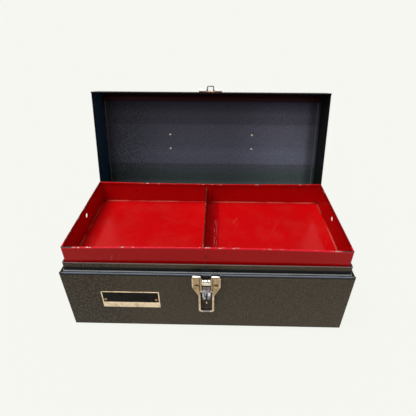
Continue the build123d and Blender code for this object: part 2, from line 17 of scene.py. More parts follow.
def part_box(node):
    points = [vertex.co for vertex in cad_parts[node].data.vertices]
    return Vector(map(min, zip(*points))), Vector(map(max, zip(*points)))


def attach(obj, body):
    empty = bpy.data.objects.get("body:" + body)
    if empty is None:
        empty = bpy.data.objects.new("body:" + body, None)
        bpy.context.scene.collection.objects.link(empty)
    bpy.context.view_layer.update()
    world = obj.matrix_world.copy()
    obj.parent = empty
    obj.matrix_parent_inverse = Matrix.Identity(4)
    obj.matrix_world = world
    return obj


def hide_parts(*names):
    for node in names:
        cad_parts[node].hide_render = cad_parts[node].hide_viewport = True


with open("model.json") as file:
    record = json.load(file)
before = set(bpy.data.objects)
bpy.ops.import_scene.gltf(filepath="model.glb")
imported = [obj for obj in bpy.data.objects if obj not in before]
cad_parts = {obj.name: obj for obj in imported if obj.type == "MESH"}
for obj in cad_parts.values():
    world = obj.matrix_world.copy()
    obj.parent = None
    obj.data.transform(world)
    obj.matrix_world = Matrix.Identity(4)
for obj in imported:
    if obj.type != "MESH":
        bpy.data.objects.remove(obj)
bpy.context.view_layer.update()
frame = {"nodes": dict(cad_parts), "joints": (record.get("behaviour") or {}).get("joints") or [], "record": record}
cad = frame["nodes"]

# %% [markdown]
# ## The camera
# The photograph looks down into the open box from in front, a little right of its middle. Its place
# and lens were worked out from the box's own corners, so they are written as numbers. The camera
# could also be aimed with a constraint, but a matrix built from yaw, pitch and roll says exactly
# where it looks, and the lens shift keeps the picture's centre where the photograph has it.

# %% Place the camera
FRAME_PX = 416
FOCAL_PX = 325.08
CENTRE_PX = (212.23, 184.44)
CAMERA_AT = Vector((0.01413, -0.40366, 0.4515))
YAW, PITCH, ROLL = (math.radians(a) for a in (-1.15, 31.9, 0.10))


def camera_turn():
    """Rotation of a camera that looks along yaw and pitch, then rolls."""
    ahead = Vector((
        math.sin(YAW) * math.cos(PITCH),
        math.cos(YAW) * math.cos(PITCH),
        -math.sin(PITCH),
    ))
    right = Vector((math.cos(YAW), -math.sin(YAW), 0.0))
    up = right.cross(ahead)
    c, s = math.cos(ROLL), math.sin(ROLL)
    rolled_right, rolled_up = c * right + s * up, c * up - s * right
    return Matrix((rolled_right, rolled_up, -ahead)).transposed().to_4x4()


lens = bpy.data.cameras.new("camera")
lens.sensor_width = 36.0
lens.lens = FOCAL_PX / FRAME_PX * lens.sensor_width
lens.shift_x = (FRAME_PX / 2 - CENTRE_PX[0]) / FRAME_PX
lens.shift_y = (CENTRE_PX[1] - FRAME_PX / 2) / FRAME_PX
lens.clip_start = 0.01
camera = bpy.data.objects.new("camera", lens)
camera.matrix_world = Matrix.Translation(CAMERA_AT) @ camera_turn()
bpy.context.scene.collection.objects.link(camera)
bpy.context.scene.camera = camera
bpy.context.scene.view_settings.view_transform = "Standard"
print("lens", round(lens.lens, 2), "mm, shift", round(lens.shift_x, 4), round(lens.shift_y, 4))

# %% [markdown]
# ## Small helpers for nodes
# Every finish below is a node tree. One helper adds a node, sets its options and either links or
# fills its sockets, so each finish reads as a list of what it is made of. A second helper starts a
# node group, for effects that several finishes share. The rest are short steps with a name:
# a product, a mix of two colours, a smooth step, a noise. The trees could be drawn by hand in the
# editor, but written out like this they can be read from top to bottom.

# %% Node helpers
def add(tree, kind, ins=None, **options):
    """A new node; ins fills its input sockets with values or with other nodes' outputs."""
    made = tree.nodes.new(kind)
    for option, value in options.items():
        setattr(made, option, value)
    for socket, value in (ins or {}).items():
        if isinstance(value, bpy.types.NodeSocket):
            tree.links.new(value, made.inputs[socket])
        else:
            made.inputs[socket].default_value = value
    return made


def group(name, kind, inputs, outputs):
    """A node group with named sockets; returns its tree, its input node and its output node."""
    tree = bpy.data.node_groups.new(name, kind)
    for socket, (form, value) in inputs.items():
        made = tree.interface.new_socket(socket, in_out="INPUT", socket_type="NodeSocket" + form)
        if value is not None:
            made.default_value = value
    for socket, form in outputs.items():
        tree.interface.new_socket(socket, in_out="OUTPUT", socket_type="NodeSocket" + form)
    return tree, tree.nodes.new("NodeGroupInput"), tree.nodes.new("NodeGroupOutput")


print("helpers:", add.__name__, group.__name__)


# %% Steps with a name
def math_node(tree, operation, a, b=0.5, clamp=False):
    """The output of one Math node."""
    return add(tree, "ShaderNodeMath", {0: a, 1: b}, operation=operation, use_clamp=clamp).outputs[0]


def times(tree, *factors, clamp=False):
    """The product of two or more values."""
    product = factors[0]
    for factor in factors[1:]:
        product = math_node(tree, "MULTIPLY", product, factor, clamp=clamp)
    return product


def inverse(tree, mask, clamp=False):
    """1 where a mask is 0, and 0 where it is 1."""
    return math_node(tree, "SUBTRACT", 1.0, mask, clamp=clamp)


def spread(tree, share, low, high):
    """A share from 0 to 1 spread from one value to another."""
    return add(tree, "ShaderNodeMapRange", {"Value": share, "To Min": low, "To Max": high}).outputs[0]


def mix_colour(tree, factor, a, b, blend="MIX"):
    """The colour output of one Mix node."""
    made = add(tree, "ShaderNodeMix", data_type="RGBA", blend_type=blend)
    for socket, value in ((0, factor), (6, a), (7, b)):
        if isinstance(value, bpy.types.NodeSocket):
            tree.links.new(value, made.inputs[socket])
        else:
            made.inputs[socket].default_value = value
    return made.outputs[2]


def toned(tree, mask, colour, tone):
    """A colour multiplied by another one where the mask is 1."""
    changed = mix_colour(tree, 1.0, colour, tone, "MULTIPLY")
    return mix_colour(tree, mask, colour, changed)


def ramp(tree, factor, stops):
    """A colour ramp's output; stops are (position, colour)."""
    made = add(tree, "ShaderNodeValToRGB", {"Fac": factor})
    points = made.color_ramp.elements
    while len(points) < len(stops):
        points.new(0.5)
    for point, (position, colour) in zip(points, stops):
        point.position = position
        point.color = (*colour, 1.0)
    return made.outputs["Color"]


def stepped(tree, value, low, high):
    """0 at low and 1 at high, smooth between; low may be the larger of the two."""
    made = add(tree, "ShaderNodeMapRange", {"Value": value, "From Min": low, "From Max": high},
               interpolation_type="SMOOTHSTEP")
    return made.outputs["Result"]


def between(tree, value, low, high, blur=0.0002):
    """1 between two limits, 0 outside them."""
    above = stepped(tree, value, low - blur, low + blur)
    below = stepped(tree, value, high + blur, high - blur)
    return times(tree, above, below)


def noise(tree, place, scale, detail=3.0, roughness=0.5):
    """A noise texture's grey output."""
    made = add(tree, "ShaderNodeTexNoise",
               {"Vector": place, "Scale": scale, "Detail": detail, "Roughness": roughness})
    return made.outputs["Fac"]


print("steps:", ", ".join(f.__name__ for f in (times, inverse, spread, mix_colour, toned, stepped, between)))

# %% [markdown]
# ## Where a point is, and which way it looks
# Much of an old box's wear belongs to a place: a fold that hands rub, a joint that holds dirt, the
# inside of a lid. Such marks could be painted on a flat picture of the piece, but here they are
# masks worked out from the point's own coordinates, in metres, and from the way that its face
# looks. They stay sharp close up, and most are measured from a corner of the piece, so they still
# fit when a size of the model changes. Their limits are named pairs: where the mask begins and
# where it is full, or from where to where a band reaches, with its blur as a third number.

# %% Masks by place
def object_place(tree):
    """Object coordinates, in metres."""
    return tree.nodes.new("ShaderNodeTexCoord").outputs["Object"]


def parts_of(tree, vector):
    """A vector's x, y and z."""
    made = add(tree, "ShaderNodeSeparateXYZ", {0: vector})
    return made.outputs["X"], made.outputs["Y"], made.outputs["Z"]


def along(tree, vector, direction):
    """How far a vector reaches along a direction."""
    return add(tree, "ShaderNodeVectorMath", {0: vector, 1: tuple(direction)},
               operation="DOT_PRODUCT").outputs["Value"]


def facing(tree, direction):
    """How far a face looks along a direction of the piece itself, from -1 to 1."""
    return along(tree, tree.nodes.new("ShaderNodeTexCoord").outputs["Normal"], direction)


def looking(tree, direction):
    """1 on faces that look along a direction of the piece itself, 0 on the others."""
    return stepped(tree, facing(tree, direction), 0.5, 0.9)


def facing_middle(tree, middle):
    """1 on faces that look towards a point inside the box, 0 on those that look away."""
    look = tree.nodes.new("ShaderNodeTexCoord").outputs["Normal"]
    inward = add(tree, "ShaderNodeVectorMath", {0: tuple(middle), 1: object_place(tree)},
                 operation="SUBTRACT").outputs[0]
    towards = add(tree, "ShaderNodeVectorMath", {0: look, 1: inward}, operation="DOT_PRODUCT")
    return stepped(tree, towards.outputs["Value"], -0.001, 0.001)


def in_from(tree, corner, across, back):
    """How far in a point lies from a box's ends, and from the nearest of its four sides."""
    from_end = math_node(tree, "SUBTRACT", corner.x, math_node(tree, "ABSOLUTE", across))
    from_front = math_node(tree, "SUBTRACT", corner.y, math_node(tree, "ABSOLUTE", back))
    return from_end, math_node(tree, "MINIMUM", from_end, from_front)


def colours_by_height(tree, height, rows):
    """Colours that change with height; rows are (metres, colour), lowest first."""
    low, high = rows[0][0], rows[-1][0]
    share = add(tree, "ShaderNodeMapRange", {"Value": height, "From Min": low, "From Max": high})
    return ramp(tree, share.outputs[0], [((z - low) / (high - low), colour) for z, colour in rows])


print("masks:", ", ".join(f.__name__ for f in (along, facing, looking, facing_middle, in_from)))

# %% [markdown]
# ## Hammered enamel
# Hammered enamel is a paint with silicone and metal powder in it: as it dries it draws itself into
# small dimples, pale in the middle with dark veins between. Voronoi cells have just that pattern.
# A noise alone would look like stone. One group gives colour, roughness and height, so body and lid
# can have their own shades of it.

# %% Hammered enamel
def hammered_group():
    """Cells of pooled paint with darker veins between them."""
    tree, taken, given = group(
        "hammered_enamel", "ShaderNodeTree",
        {"Vein": ("Color", (0.01, 0.01, 0.01, 1)), "Pool": ("Color", (0.1, 0.1, 0.1, 1)),
         "Cells": ("Float", 300.0), "Contrast": ("Float", 1.0)},
        {"Color": "Color", "Roughness": "Float", "Height": "Float"},
    )
    place = object_place(tree)
    wander = add(tree, "ShaderNodeTexNoise", {"Vector": place, "Scale": 180.0, "Detail": 1.0})
    drift = add(tree, "ShaderNodeVectorMath", {0: wander.outputs["Color"], "Scale": 0.0026},
                operation="SCALE").outputs[0]
    bent = add(tree, "ShaderNodeVectorMath", {0: place, 1: drift}, operation="ADD").outputs[0]
    cells = add(tree, "ShaderNodeTexVoronoi",
                {"Vector": bent, "Scale": taken.outputs["Cells"], "Smoothness": 0.35},
                feature="SMOOTH_F1")
    edges = add(tree, "ShaderNodeTexVoronoi", {"Vector": bent, "Scale": taken.outputs["Cells"]},
                feature="DISTANCE_TO_EDGE")
    pooled = stepped(tree, edges.outputs["Distance"], 0.02, 0.42)
    speckle = math_node(tree, "ADD", noise(tree, place, 900.0, 1.0), 0.45)
    broad = math_node(tree, "ADD", noise(tree, place, 14.0, 2.0), 0.55)
    calm = math_node(tree, "SUBTRACT", times(tree, speckle, pooled, broad), 0.5)
    uneven = add(tree, "ShaderNodeMath", {0: calm, 1: taken.outputs["Contrast"], 2: 0.5},
                 operation="MULTIPLY_ADD", use_clamp=True).outputs[0]
    colour = mix_colour(tree, uneven, taken.outputs["Vein"], taken.outputs["Pool"])
    tree.links.new(colour, given.inputs["Color"])
    tree.links.new(spread(tree, pooled, 0.52, 0.34), given.inputs["Roughness"])
    height = inverse(tree, cells.outputs["Distance"])
    tree.links.new(height, given.inputs["Height"])
    return tree


HAMMERED = hammered_group()
print("group", HAMMERED.name, "nodes", len(HAMMERED.nodes))

# %% [markdown]
# ## Age
# Nothing on an old box is one clean colour. Four effects are shared by its finishes: fine scratches, dust on faces
# that look up, paint worn off sharp edges, and recesses darkened with painted shade and dirt.
# Each could be built again in every material. As a group that gives a mask from 0 to 1 it is built
# once, and every finish chooses its own colour and amount.

# %% Scratches
def scratch_group():
    """Thin straight-ish marks in three directions across a surface."""
    tree, taken, given = group(
        "fine_scratches", "ShaderNodeTree",
        {"Length": ("Float", 9.0), "Fineness": ("Float", 900.0), "Amount": ("Float", 0.5)},
        {"Mask": "Float"},
    )
    place = object_place(tree)
    masks = []
    for turn, shift in ((0.35, 0.0), (-1.05, 3.7), (1.9, 8.1)):
        turned = add(tree, "ShaderNodeMapping",
                     {"Vector": place, "Location": (shift, shift, shift), "Rotation": (0.2, 0.1, turn)})
        x, y, z = parts_of(tree, turned.outputs[0])
        stretched = add(tree, "ShaderNodeCombineXYZ", {
            "X": times(tree, x, taken.outputs["Length"]),
            "Y": times(tree, y, taken.outputs["Fineness"]),
            "Z": times(tree, z, 40.0),
        })
        lines = noise(tree, stretched.outputs[0], 1.0, 1.0)
        gaps = noise(tree, turned.outputs[0], 31.0, 1.0)
        masks.append(times(tree, stepped(tree, lines, 0.7, 0.78), stepped(tree, gaps, 0.5, 0.62)))
    marks = math_node(tree, "MAXIMUM", math_node(tree, "MAXIMUM", masks[0], masks[1]), masks[2])
    tree.links.new(times(tree, marks, taken.outputs["Amount"]), given.inputs["Mask"])
    return tree


SCRATCHES = scratch_group()
print("group", SCRATCHES.name, "nodes", len(SCRATCHES.nodes))

# %% [markdown]
# ## Dust
# Dust settles only where it can lie, so the mask is 1 on faces that look up and 0 on walls. A second
# thin mesh above the surface could carry it, but a mask costs nothing and never flickers.

# %% Dust
def dust_group():
    """Dust on faces that look up, thicker in patches."""
    tree, taken, given = group(
        "settled_dust", "ShaderNodeTree",
        {"Amount": ("Float", 0.3), "Patch": ("Float", 30.0)},
        {"Mask": "Float"},
    )
    place = object_place(tree)
    up = parts_of(tree, tree.nodes.new("ShaderNodeNewGeometry").outputs["Normal"])[2]
    level = stepped(tree, up, 0.3, 0.95)
    patches = stepped(tree, noise(tree, place, taken.outputs["Patch"], 5.0, 0.62), 0.42, 0.72)
    specks = stepped(tree, noise(tree, place, 1400.0, 1.0), 0.66, 0.78)
    lying = math_node(tree, "MAXIMUM", times(tree, patches, 0.55), specks)
    tree.links.new(times(tree, lying, level, taken.outputs["Amount"]), given.inputs["Mask"])
    return tree


DUST = dust_group()
print("group", DUST.name, "nodes", len(DUST.nodes))

# %% [markdown]
# ## Worn edges and recesses
# Hands and tools take the paint off outer edges, and inner ones are darkened with painted shade and dirt. The
# Bevel node rounds the normal near an edge, so where it differs from the flat normal there is an edge. Ambient
# occlusion says how shut in a point is. Both could be drawn on every edge by hand, but these two nodes find the
# edges of any piece, also after its shape changes.

# %% Worn edges and recesses
def worn_edge_group():
    """Where a sharp edge has lost its paint: the rounded normal differs from the flat one."""
    tree, taken, given = group(
        "worn_edge", "ShaderNodeTree",
        {"Reach": ("Float", 0.0008), "Amount": ("Float", 0.5), "Patch": ("Float", 60.0)},
        {"Mask": "Float"},
    )
    rounded = add(tree, "ShaderNodeBevel", {"Radius": taken.outputs["Reach"]}, samples=4)
    flat = tree.nodes.new("ShaderNodeNewGeometry").outputs["Normal"]
    same = add(tree, "ShaderNodeVectorMath", {0: rounded.outputs[0], 1: flat}, operation="DOT_PRODUCT")
    edge = stepped(tree, inverse(tree, same.outputs["Value"]), 0.02, 0.16)
    patch = noise(tree, object_place(tree), taken.outputs["Patch"], 5.0, 0.65)
    mask = times(tree, edge, stepped(tree, patch, 0.5, 0.62), taken.outputs["Amount"])
    tree.links.new(mask, given.inputs["Mask"])
    return tree


def recess_group():
    """1 in the open, 0 deep in a corner or a gap, where dirt stays and no light gets in."""
    tree, taken, given = group(
        "recess", "ShaderNodeTree",
        {"Reach": ("Float", 0.02), "Amount": ("Float", 0.6)},
        {"Open": "Float"},
    )
    shut_in = add(tree, "ShaderNodeAmbientOcclusion", {"Distance": taken.outputs["Reach"]}, samples=6)
    lost = times(tree, inverse(tree, shut_in.outputs["AO"]), taken.outputs["Amount"], clamp=True)
    tree.links.new(inverse(tree, lost, clamp=True), given.inputs["Open"])
    return tree


WORN, RECESS = worn_edge_group(), recess_group()
print("groups", WORN.name, RECESS.name)

# %% [markdown]
# ## Starting and ending a material
# Every finish starts as one Principled shader with a few plain values, and ends by feeding colour,
# roughness and bump into it. The plain values are set on the shader's own sockets, because a value
# that is the same all over needs no node. These helpers keep each finish down to what is its own.

# %% Material helpers
def use(tree, shared, **values):
    """A shared group in a material, with its own values."""
    return add(tree, "ShaderNodeGroup", values, node_tree=shared)


def blank_material(name, **sockets):
    """A material with one Principled shader; sockets sets its plain values."""
    made = bpy.data.materials.new(name)
    made.use_nodes = True
    shader = made.node_tree.nodes["Principled BSDF"]
    for socket, value in sockets.items():
        shader.inputs[socket.replace("_", " ")].default_value = value
    return made, made.node_tree, shader


def feed(tree, shader, **outputs):
    """Links values that change over the surface into the shader's sockets."""
    for socket, output in outputs.items():
        tree.links.new(output, shader.inputs[socket.replace("_", " ")])


def roughened(tree, mask, more, base):
    """A roughness that rises from its base where the mask is 1."""
    return math_node(tree, "ADD", times(tree, mask, more), base)


def bumped(tree, shader, height, strength, distance):
    """A Bump node into the shader's normal."""
    made = add(tree, "ShaderNodeBump", {"Height": height, "Strength": strength, "Distance": distance})
    tree.links.new(made.outputs[0], shader.inputs["Normal"])


def shaded(tree, colour, reach, amount, shade_grime=(0.004, 0.004, 0.004, 1)):
    """A colour that falls off in recesses to a darker one: painted shade and grime."""
    recess = use(tree, RECESS, Reach=reach, Amount=amount)
    return mix_colour(tree, recess.outputs["Open"], shade_grime, colour)


print("material helpers:", ", ".join(f.__name__ for f in (use, blank_material, feed, bumped, shaded)))

# %% [markdown]
# ## The case's paint
# The outside is a dark grey-brown hammered enamel. Round the collar the shoulder's two folds carry painted
# highlights, and the groove between them and the foot of the collar are black with painted shade. Each of these is
# a narrow band that follows a fold, so it is told by how far in from the sides, or how high, a point lies. A real
# bead or groove in the mesh would be too fine to see.

# %% The shoulder round the collar
BODY_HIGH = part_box("body_wrap")[1]
SHOULDER = BODY_HIGH.z
COLLAR_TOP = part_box("collar_frame")[1].z
# How far in from the sides the folds and faces lie.
CREST, GROOVE, INNER_FOLD = (-0.001, 0.0016), (0.0015, 0.0031), (0.0031, 0.0049)
OUTER_FACE, COLLAR_FACE = (-0.001, 0.0006), (0.0046, 0.0056)
# How high they lie.
LEDGE, BELOW_CREST = (SHOULDER - 0.0012, SHOULDER + 0.0009), (SHOULDER - 0.0042, SHOULDER - 0.0014)
COLLAR_FOOT = (SHOULDER, SHOULDER + 0.0066, 0.0009)
COLLAR_SIDE = (SHOULDER + 0.006, COLLAR_TOP - 0.002, 0.0015)
COLLAR_HEM = (COLLAR_TOP - 0.0011, COLLAR_TOP - 0.0006)
# Where the painted highlights fade out towards the ends, and where a smudge sits on the collar's front.
HIGHLIGHT_ENDS, SMUDGE = (0.0005, 0.007), (-0.004, 0.004, 0.003)
# Painted highlights on the two folds and the collar's hem, painted shade in the groove, below the crest and at the
# collar's foot; the smudge and the rust are real marks.
SHOULDER_CREST_HIGHLIGHT, SHOULDER_FOLD_HIGHLIGHT = (0.155, 0.18, 0.24, 1), (0.25, 0.26, 0.27, 1)
GROOVE_SHADE, CREST_SHADE = (0.006, 0.007, 0.008, 1), (0.007, 0.0065, 0.006, 1)
COLLAR_FOOT_SHADE, SMUDGE_DARK = (0.003, 0.0035, 0.0035, 1), (0.006, 0.01, 0.011, 1)
COLLAR_HEM_HIGHLIGHT, RUST = (0.24, 0.15, 0.15, 1), (0.2, 0.075, 0.045, 1)


def shoulder_bands(tree, colour):
    """The shoulder and the collar: painted highlights on their folds, painted shade in the joints beside them."""
    place = object_place(tree)
    across, back, height = parts_of(tree, place)
    from_end, inward = in_from(tree, BODY_HIGH, across, back)
    level = between(tree, height, *LEDGE)
    patches = math_node(tree, "ADD", noise(tree, place, 45.0, 4.0, 0.6), 0.45)
    pale_area = times(tree, times(tree, patches, level, clamp=True), stepped(tree, from_end, *HIGHLIGHT_ENDS))
    collar = between(tree, inward, *COLLAR_FACE)
    smudge = times(tree, between(tree, across, *SMUDGE), between(tree, height, *COLLAR_SIDE), collar, 0.8)
    # Painted highlights on the folds and the collar's hem, painted shade in the groove, below the crest and at the
    # collar's foot.
    for mask, tint in (
        (times(tree, between(tree, inward, *INNER_FOLD), pale_area), SHOULDER_FOLD_HIGHLIGHT),
        (times(tree, between(tree, inward, *GROOVE), level), GROOVE_SHADE),
        (times(tree, between(tree, inward, *CREST), pale_area), SHOULDER_CREST_HIGHLIGHT),
        (times(tree, between(tree, height, *BELOW_CREST), between(tree, inward, *OUTER_FACE)), CREST_SHADE),
        (times(tree, between(tree, height, *COLLAR_FOOT), collar), COLLAR_FOOT_SHADE),
        (smudge, SMUDGE_DARK),
        (times(tree, stepped(tree, height, *COLLAR_HEM), 0.6), COLLAR_HEM_HIGHLIGHT),
    ):
        colour = mix_colour(tree, mask, colour, tint)
    spots = times(tree, stepped(tree, noise(tree, place, 60.0, 2.0), 0.68, 0.71), level)
    return mix_colour(tree, spots, colour, RUST)


print("shoulder at mm", round(SHOULDER * 1000, 1), "collar up to", round(COLLAR_TOP * 1000, 1))

# %% [markdown]
# ## The lid's lining
# The lid has the same paint inside, but there it looks quite different: blue-grey and lighter on the panel, partly
# the paint's own colour and partly painted light, darker on the walls as painted shade, black-red under the front
# bend as painted shade with a painted reflection of the red tray, and with a painted highlight on the pale seams
# at both ends. The lid stands open, so a row of painted light and shade by height does most of it: dark behind the
# tray, a lighter strip just above it, even paint higher up, and darker again below the bend. Lamps alone could
# shade it, but soft studio light leaves the inside flat.

# %% Measures of the lid
LID_OPEN = math.radians(-frame["joints"][0]["range_deg"][0])
LID_UP = Vector((0.0, math.sin(LID_OPEN), math.cos(LID_OPEN)))
LID_FRONT = Vector((0.0, -math.cos(LID_OPEN), math.sin(LID_OPEN)))
LID_LOW, LID_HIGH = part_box("lid_wrap")
MIDDLE_DROP = 0.004
LID_MIDDLE = (LID_LOW + LID_HIGH) / 2 - LID_UP * MIDDLE_DROP
LID_POINTS = [v.co for v in cad["lid_wrap"].data.vertices]
LID_RIM = min(p.dot(LID_UP) for p in LID_POINTS)
LID_FACE = max(p.dot(LID_FRONT) for p in LID_POINTS)
print("lid open", round(math.degrees(LID_OPEN), 1), "degrees, its front at mm", round(LID_FACE * 1000, 1))

# %% Shades of the lid
VEIN, POOL = (0.0285, 0.0198, 0.0112), (0.1175, 0.0852, 0.0492)
# Inside, the end walls and the back wall are darker as painted shade, the front wall is near black as painted
# shade with a painted red reflection of the tray, and the panel is lighter as painted light over its own
# blue-grey.
LID_VEINS = {
    "outside": VEIN, "panel": (0.039, 0.042, 0.057),
    "left end": (0.008, 0.027, 0.05), "right end": (0.0054, 0.00675, 0.00648),
    "front wall": (0.003, 0.0008, 0.001), "back wall": (0.0234, 0.0252, 0.0342),
}
LID_POOLS = {
    "outside": POOL, "panel": (0.15, 0.159, 0.218),
    "left end": (0.028, 0.08, 0.15), "right end": (0.016, 0.02, 0.0192),
    "front wall": (0.009, 0.0022, 0.0035), "back wall": (0.09, 0.0954, 0.1308),
}
# Painted light and shade on the lining by height: multipliers for its colour, lowest first.
LINING_LIGHT_ROWS = (
    (0.13, (0.56, 0.68, 0.5)), (0.142, (0.7, 0.74, 0.64)), (0.149, (0.72, 0.74, 0.66)),
    (0.152, (1.1, 1.08, 1.07)), (0.172, (1.15, 1.15, 1.15)), (0.186, (0.96, 0.96, 0.96)),
    (0.222, (0.96, 0.96, 0.96)), (0.226, (0.68, 0.68, 0.68)), (0.242, (0.66, 0.66, 0.66)),
    (0.251, (0.46, 0.46, 0.48)), (0.259, (0.36, 0.36, 0.4)), (0.265, (0.2, 0.2, 0.28)),
)
# From where to where across the lid its painted light and shade change.
LEFT_SHADE, RIGHT_LIGHT, RIGHT_SHADE, RIGHT_WALL = (-0.2, -0.04), (0.03, 0.15), (0.176, 0.19), (0.18, 0.2)


def lid_shade(tree, shades, masks, inside):
    """One of the paint's two colours over the whole lid: the left end's, then each part's over it."""
    colour = (*shades["left end"], 1)
    for part, mask in masks.items():
        colour = mix_colour(tree, mask, colour, (*shades[part], 1))
    return mix_colour(tree, inside, (*shades["outside"], 1), colour)


def lid_lining(tree, place):
    """Veins and pools of the lid's paint, outside and inside, darker on its inner walls as painted shade, and the
    painted light and shade of its panel.
    """
    across, _, height = parts_of(tree, place)
    inside = facing_middle(tree, LID_MIDDLE)
    panel = looking(tree, -LID_UP)
    masks = {
        "right end": stepped(tree, across, *RIGHT_WALL), "panel": panel,
        "front wall": looking(tree, -LID_FRONT), "back wall": looking(tree, LID_FRONT),
    }
    vein, pool = (lid_shade(tree, shades, masks, inside) for shades in (LID_VEINS, LID_POOLS))
    # Painted light and shade: darker to the left and at the far right, lighter right of the middle, and by height.
    left = spread(tree, stepped(tree, across, *LEFT_SHADE), 0.6, 1.0)
    right = spread(tree, stepped(tree, across, *RIGHT_LIGHT), 1.0, 1.65)
    far_right = spread(tree, stepped(tree, across, *RIGHT_SHADE), 1.0, 0.5)
    rows = colours_by_height(tree, height, LINING_LIGHT_ROWS)
    light = mix_colour(tree, 1.0, rows, times(tree, left, right, far_right), "MULTIPLY")
    return vein, pool, times(tree, inside, panel), light


print("lining rows:", len(LINING_LIGHT_ROWS), "shades:", sorted(LID_POOLS))

# %% [markdown]
# ## Marks on the lid's lining
# The panel meets the end walls in seams with a painted highlight, the hemmed rim has painted shade, and the front
# bend is black-red, painted shade with a painted reflection of the red tray, and a fine painted highlight along
# it. The bend could be told by its curved faces, but its shade starts a little before it, so the bands are
# measured back from the lid's front face instead.

# %% Marks on the lid's lining
SEAM, RIM = (LID_HIGH.x - 0.0072, LID_HIGH.x - 0.0058), (LID_RIM + 0.0034, LID_RIM + 0.0022)
BEND, BEND_TOP = (LID_FACE - 0.0185, LID_FACE - 0.0165), (LID_FACE - 0.009, LID_FACE - 0.007)
STREAK = (LID_FACE - 0.0132, LID_FACE - 0.0122, 0.0006)
# A painted highlight on the seams and along the bend, painted shade on the rim and in the bend, and a painted red
# reflection of the tray in the bend.
SEAM_HIGHLIGHT, RIM_SHADE, STREAK_HIGHLIGHT = (0.17, 0.18, 0.2, 1), (0.006, 0.006, 0.008, 1), (0.05, 0.03, 0.035, 1)
BEND_REFLECTION_RED, BEND_SHADE = (0.019, 0.0014, 0.0022, 1), (0.0025, 0.001, 0.001, 1)


def lining_marks(tree, colour, place, across, panel, light):
    """The panel's painted light and shade, painted highlights on its seams, painted shade on the rim, and the
    front bend's painted shade, red reflection and highlight.
    """
    # Painted light and shade on the panel, then painted highlights and shade on its seams, rim and bend.
    colour = toned(tree, panel, colour, light)
    off_middle = math_node(tree, "ABSOLUTE", across)
    forward = along(tree, place, LID_FRONT)
    for mask, tint in (
        (times(tree, between(tree, off_middle, *SEAM), panel, 0.8), SEAM_HIGHLIGHT),
        (stepped(tree, along(tree, place, LID_UP), *RIM), RIM_SHADE),
        (times(tree, stepped(tree, forward, *BEND), panel), BEND_REFLECTION_RED),
        (times(tree, stepped(tree, forward, *BEND_TOP), panel), BEND_SHADE),
        (times(tree, between(tree, forward, *STREAK), panel, 0.5), STREAK_HIGHLIGHT),
    ):
        colour = mix_colour(tree, mask, colour, tint)
    return colour


print("the bend's shade starts mm behind the lid's front:", round((LID_FACE - BEND[0]) * 1000, 1))

# %% [markdown]
# ## The two case paints
# Body and lid are one paint job, so one function makes both materials. The body adds its shoulder,
# the lid its lining. Towards the left end the paint has dried in coarser, paler dimples, which is a
# stronger contrast of the same pattern. Two separate materials would drift apart with every change.

# %% Case paint
BARE_STEEL, CASE_DUST = (0.3, 0.29, 0.27, 1), (0.3, 0.28, 0.24, 1)
COARSE_LEFT, END_FACES = (-0.09, -0.17), (0.9, 0.5)


def case_paint(name, wear, lid=False):
    """Hammered enamel with worn edges, dirt in the corners and a little dust."""
    made, tree, shader = blank_material(name, Coat_Weight=0.0, Specular_IOR_Level=0.09 if lid else 0.2)
    place = object_place(tree)
    across = parts_of(tree, place)[0]
    long_faces = stepped(tree, math_node(tree, "ABSOLUTE", facing(tree, (1, 0, 0))), *END_FACES)
    contrast = spread(tree, times(tree, stepped(tree, across, *COARSE_LEFT), long_faces), 0.52, 1.45)
    vein, pool = (*VEIN, 1), (*POOL, 1)
    if lid:
        vein, pool, panel, light = lid_lining(tree, place)
        contrast = times(tree, contrast, inverse(tree, times(tree, panel, 0.4)))
    paint = use(tree, HAMMERED, Vein=vein, Pool=pool, Cells=330.0, Contrast=contrast)
    colour = paint.outputs["Color"]
    if lid:
        colour = lining_marks(tree, colour, place, across, panel, light)
    colour = shaded(tree, colour, 0.006, 0.7)
    if not lid:
        colour = shoulder_bands(tree, colour)
    worn = use(tree, WORN, Reach=0.0009, Amount=wear, Patch=70.0)
    dust = use(tree, DUST, Amount=0.06, Patch=24.0)
    colour = mix_colour(tree, worn.outputs["Mask"], colour, BARE_STEEL)
    colour = mix_colour(tree, dust.outputs["Mask"], colour, CASE_DUST)
    feed(tree, shader, Base_Color=colour, Roughness=paint.outputs["Roughness"])
    bumped(tree, shader, paint.outputs["Height"], 0.45, 0.0006)
    return made


BODY_PAINT = case_paint("body_hammered_enamel", 0.3)
LID_PAINT = case_paint("lid_hammered_enamel", 0.25, lid=True)
print("case paints:", BODY_PAINT.name, LID_PAINT.name)

# %% [markdown]
# ## The tray's enamel
# The tray is coated in a bright red gloss enamel. Tools have scratched its floor, its rim is chipped to bare
# steel, and its front corners are worn dark. Its folds carry a painted highlight, and its walls are a deeper red
# than the floor as painted shade. It could be one red with scratches all over, but each part of the tray has its
# own wear and its own painted light, so the red passes through one function for each part.

# %% Places on the tray
TRAY_LOW, TRAY_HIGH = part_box("tray_pan")
TRAY_MIDDLE = (TRAY_LOW + TRAY_HIGH) / 2
SCRATCHED_RED = (0.66, 0.1, 0.08, 1)


def tray_places(tree):
    """Where a point of the tray lies, and masks for walls and for faces that look inwards."""
    place = object_place(tree)
    across, back, height = parts_of(tree, place)
    walls = stepped(tree, math_node(tree, "ABSOLUTE", facing(tree, (0, 0, 1))), 0.7, 0.3)
    return SimpleNamespace(
        place=place, across=across, back=back, height=height, walls=walls,
        off_middle=math_node(tree, "ABSOLUTE", across), within=facing_middle(tree, TRAY_MIDDLE),
    )


print("tray mm", [round(v * 1000, 1) for v in TRAY_HIGH - TRAY_LOW])

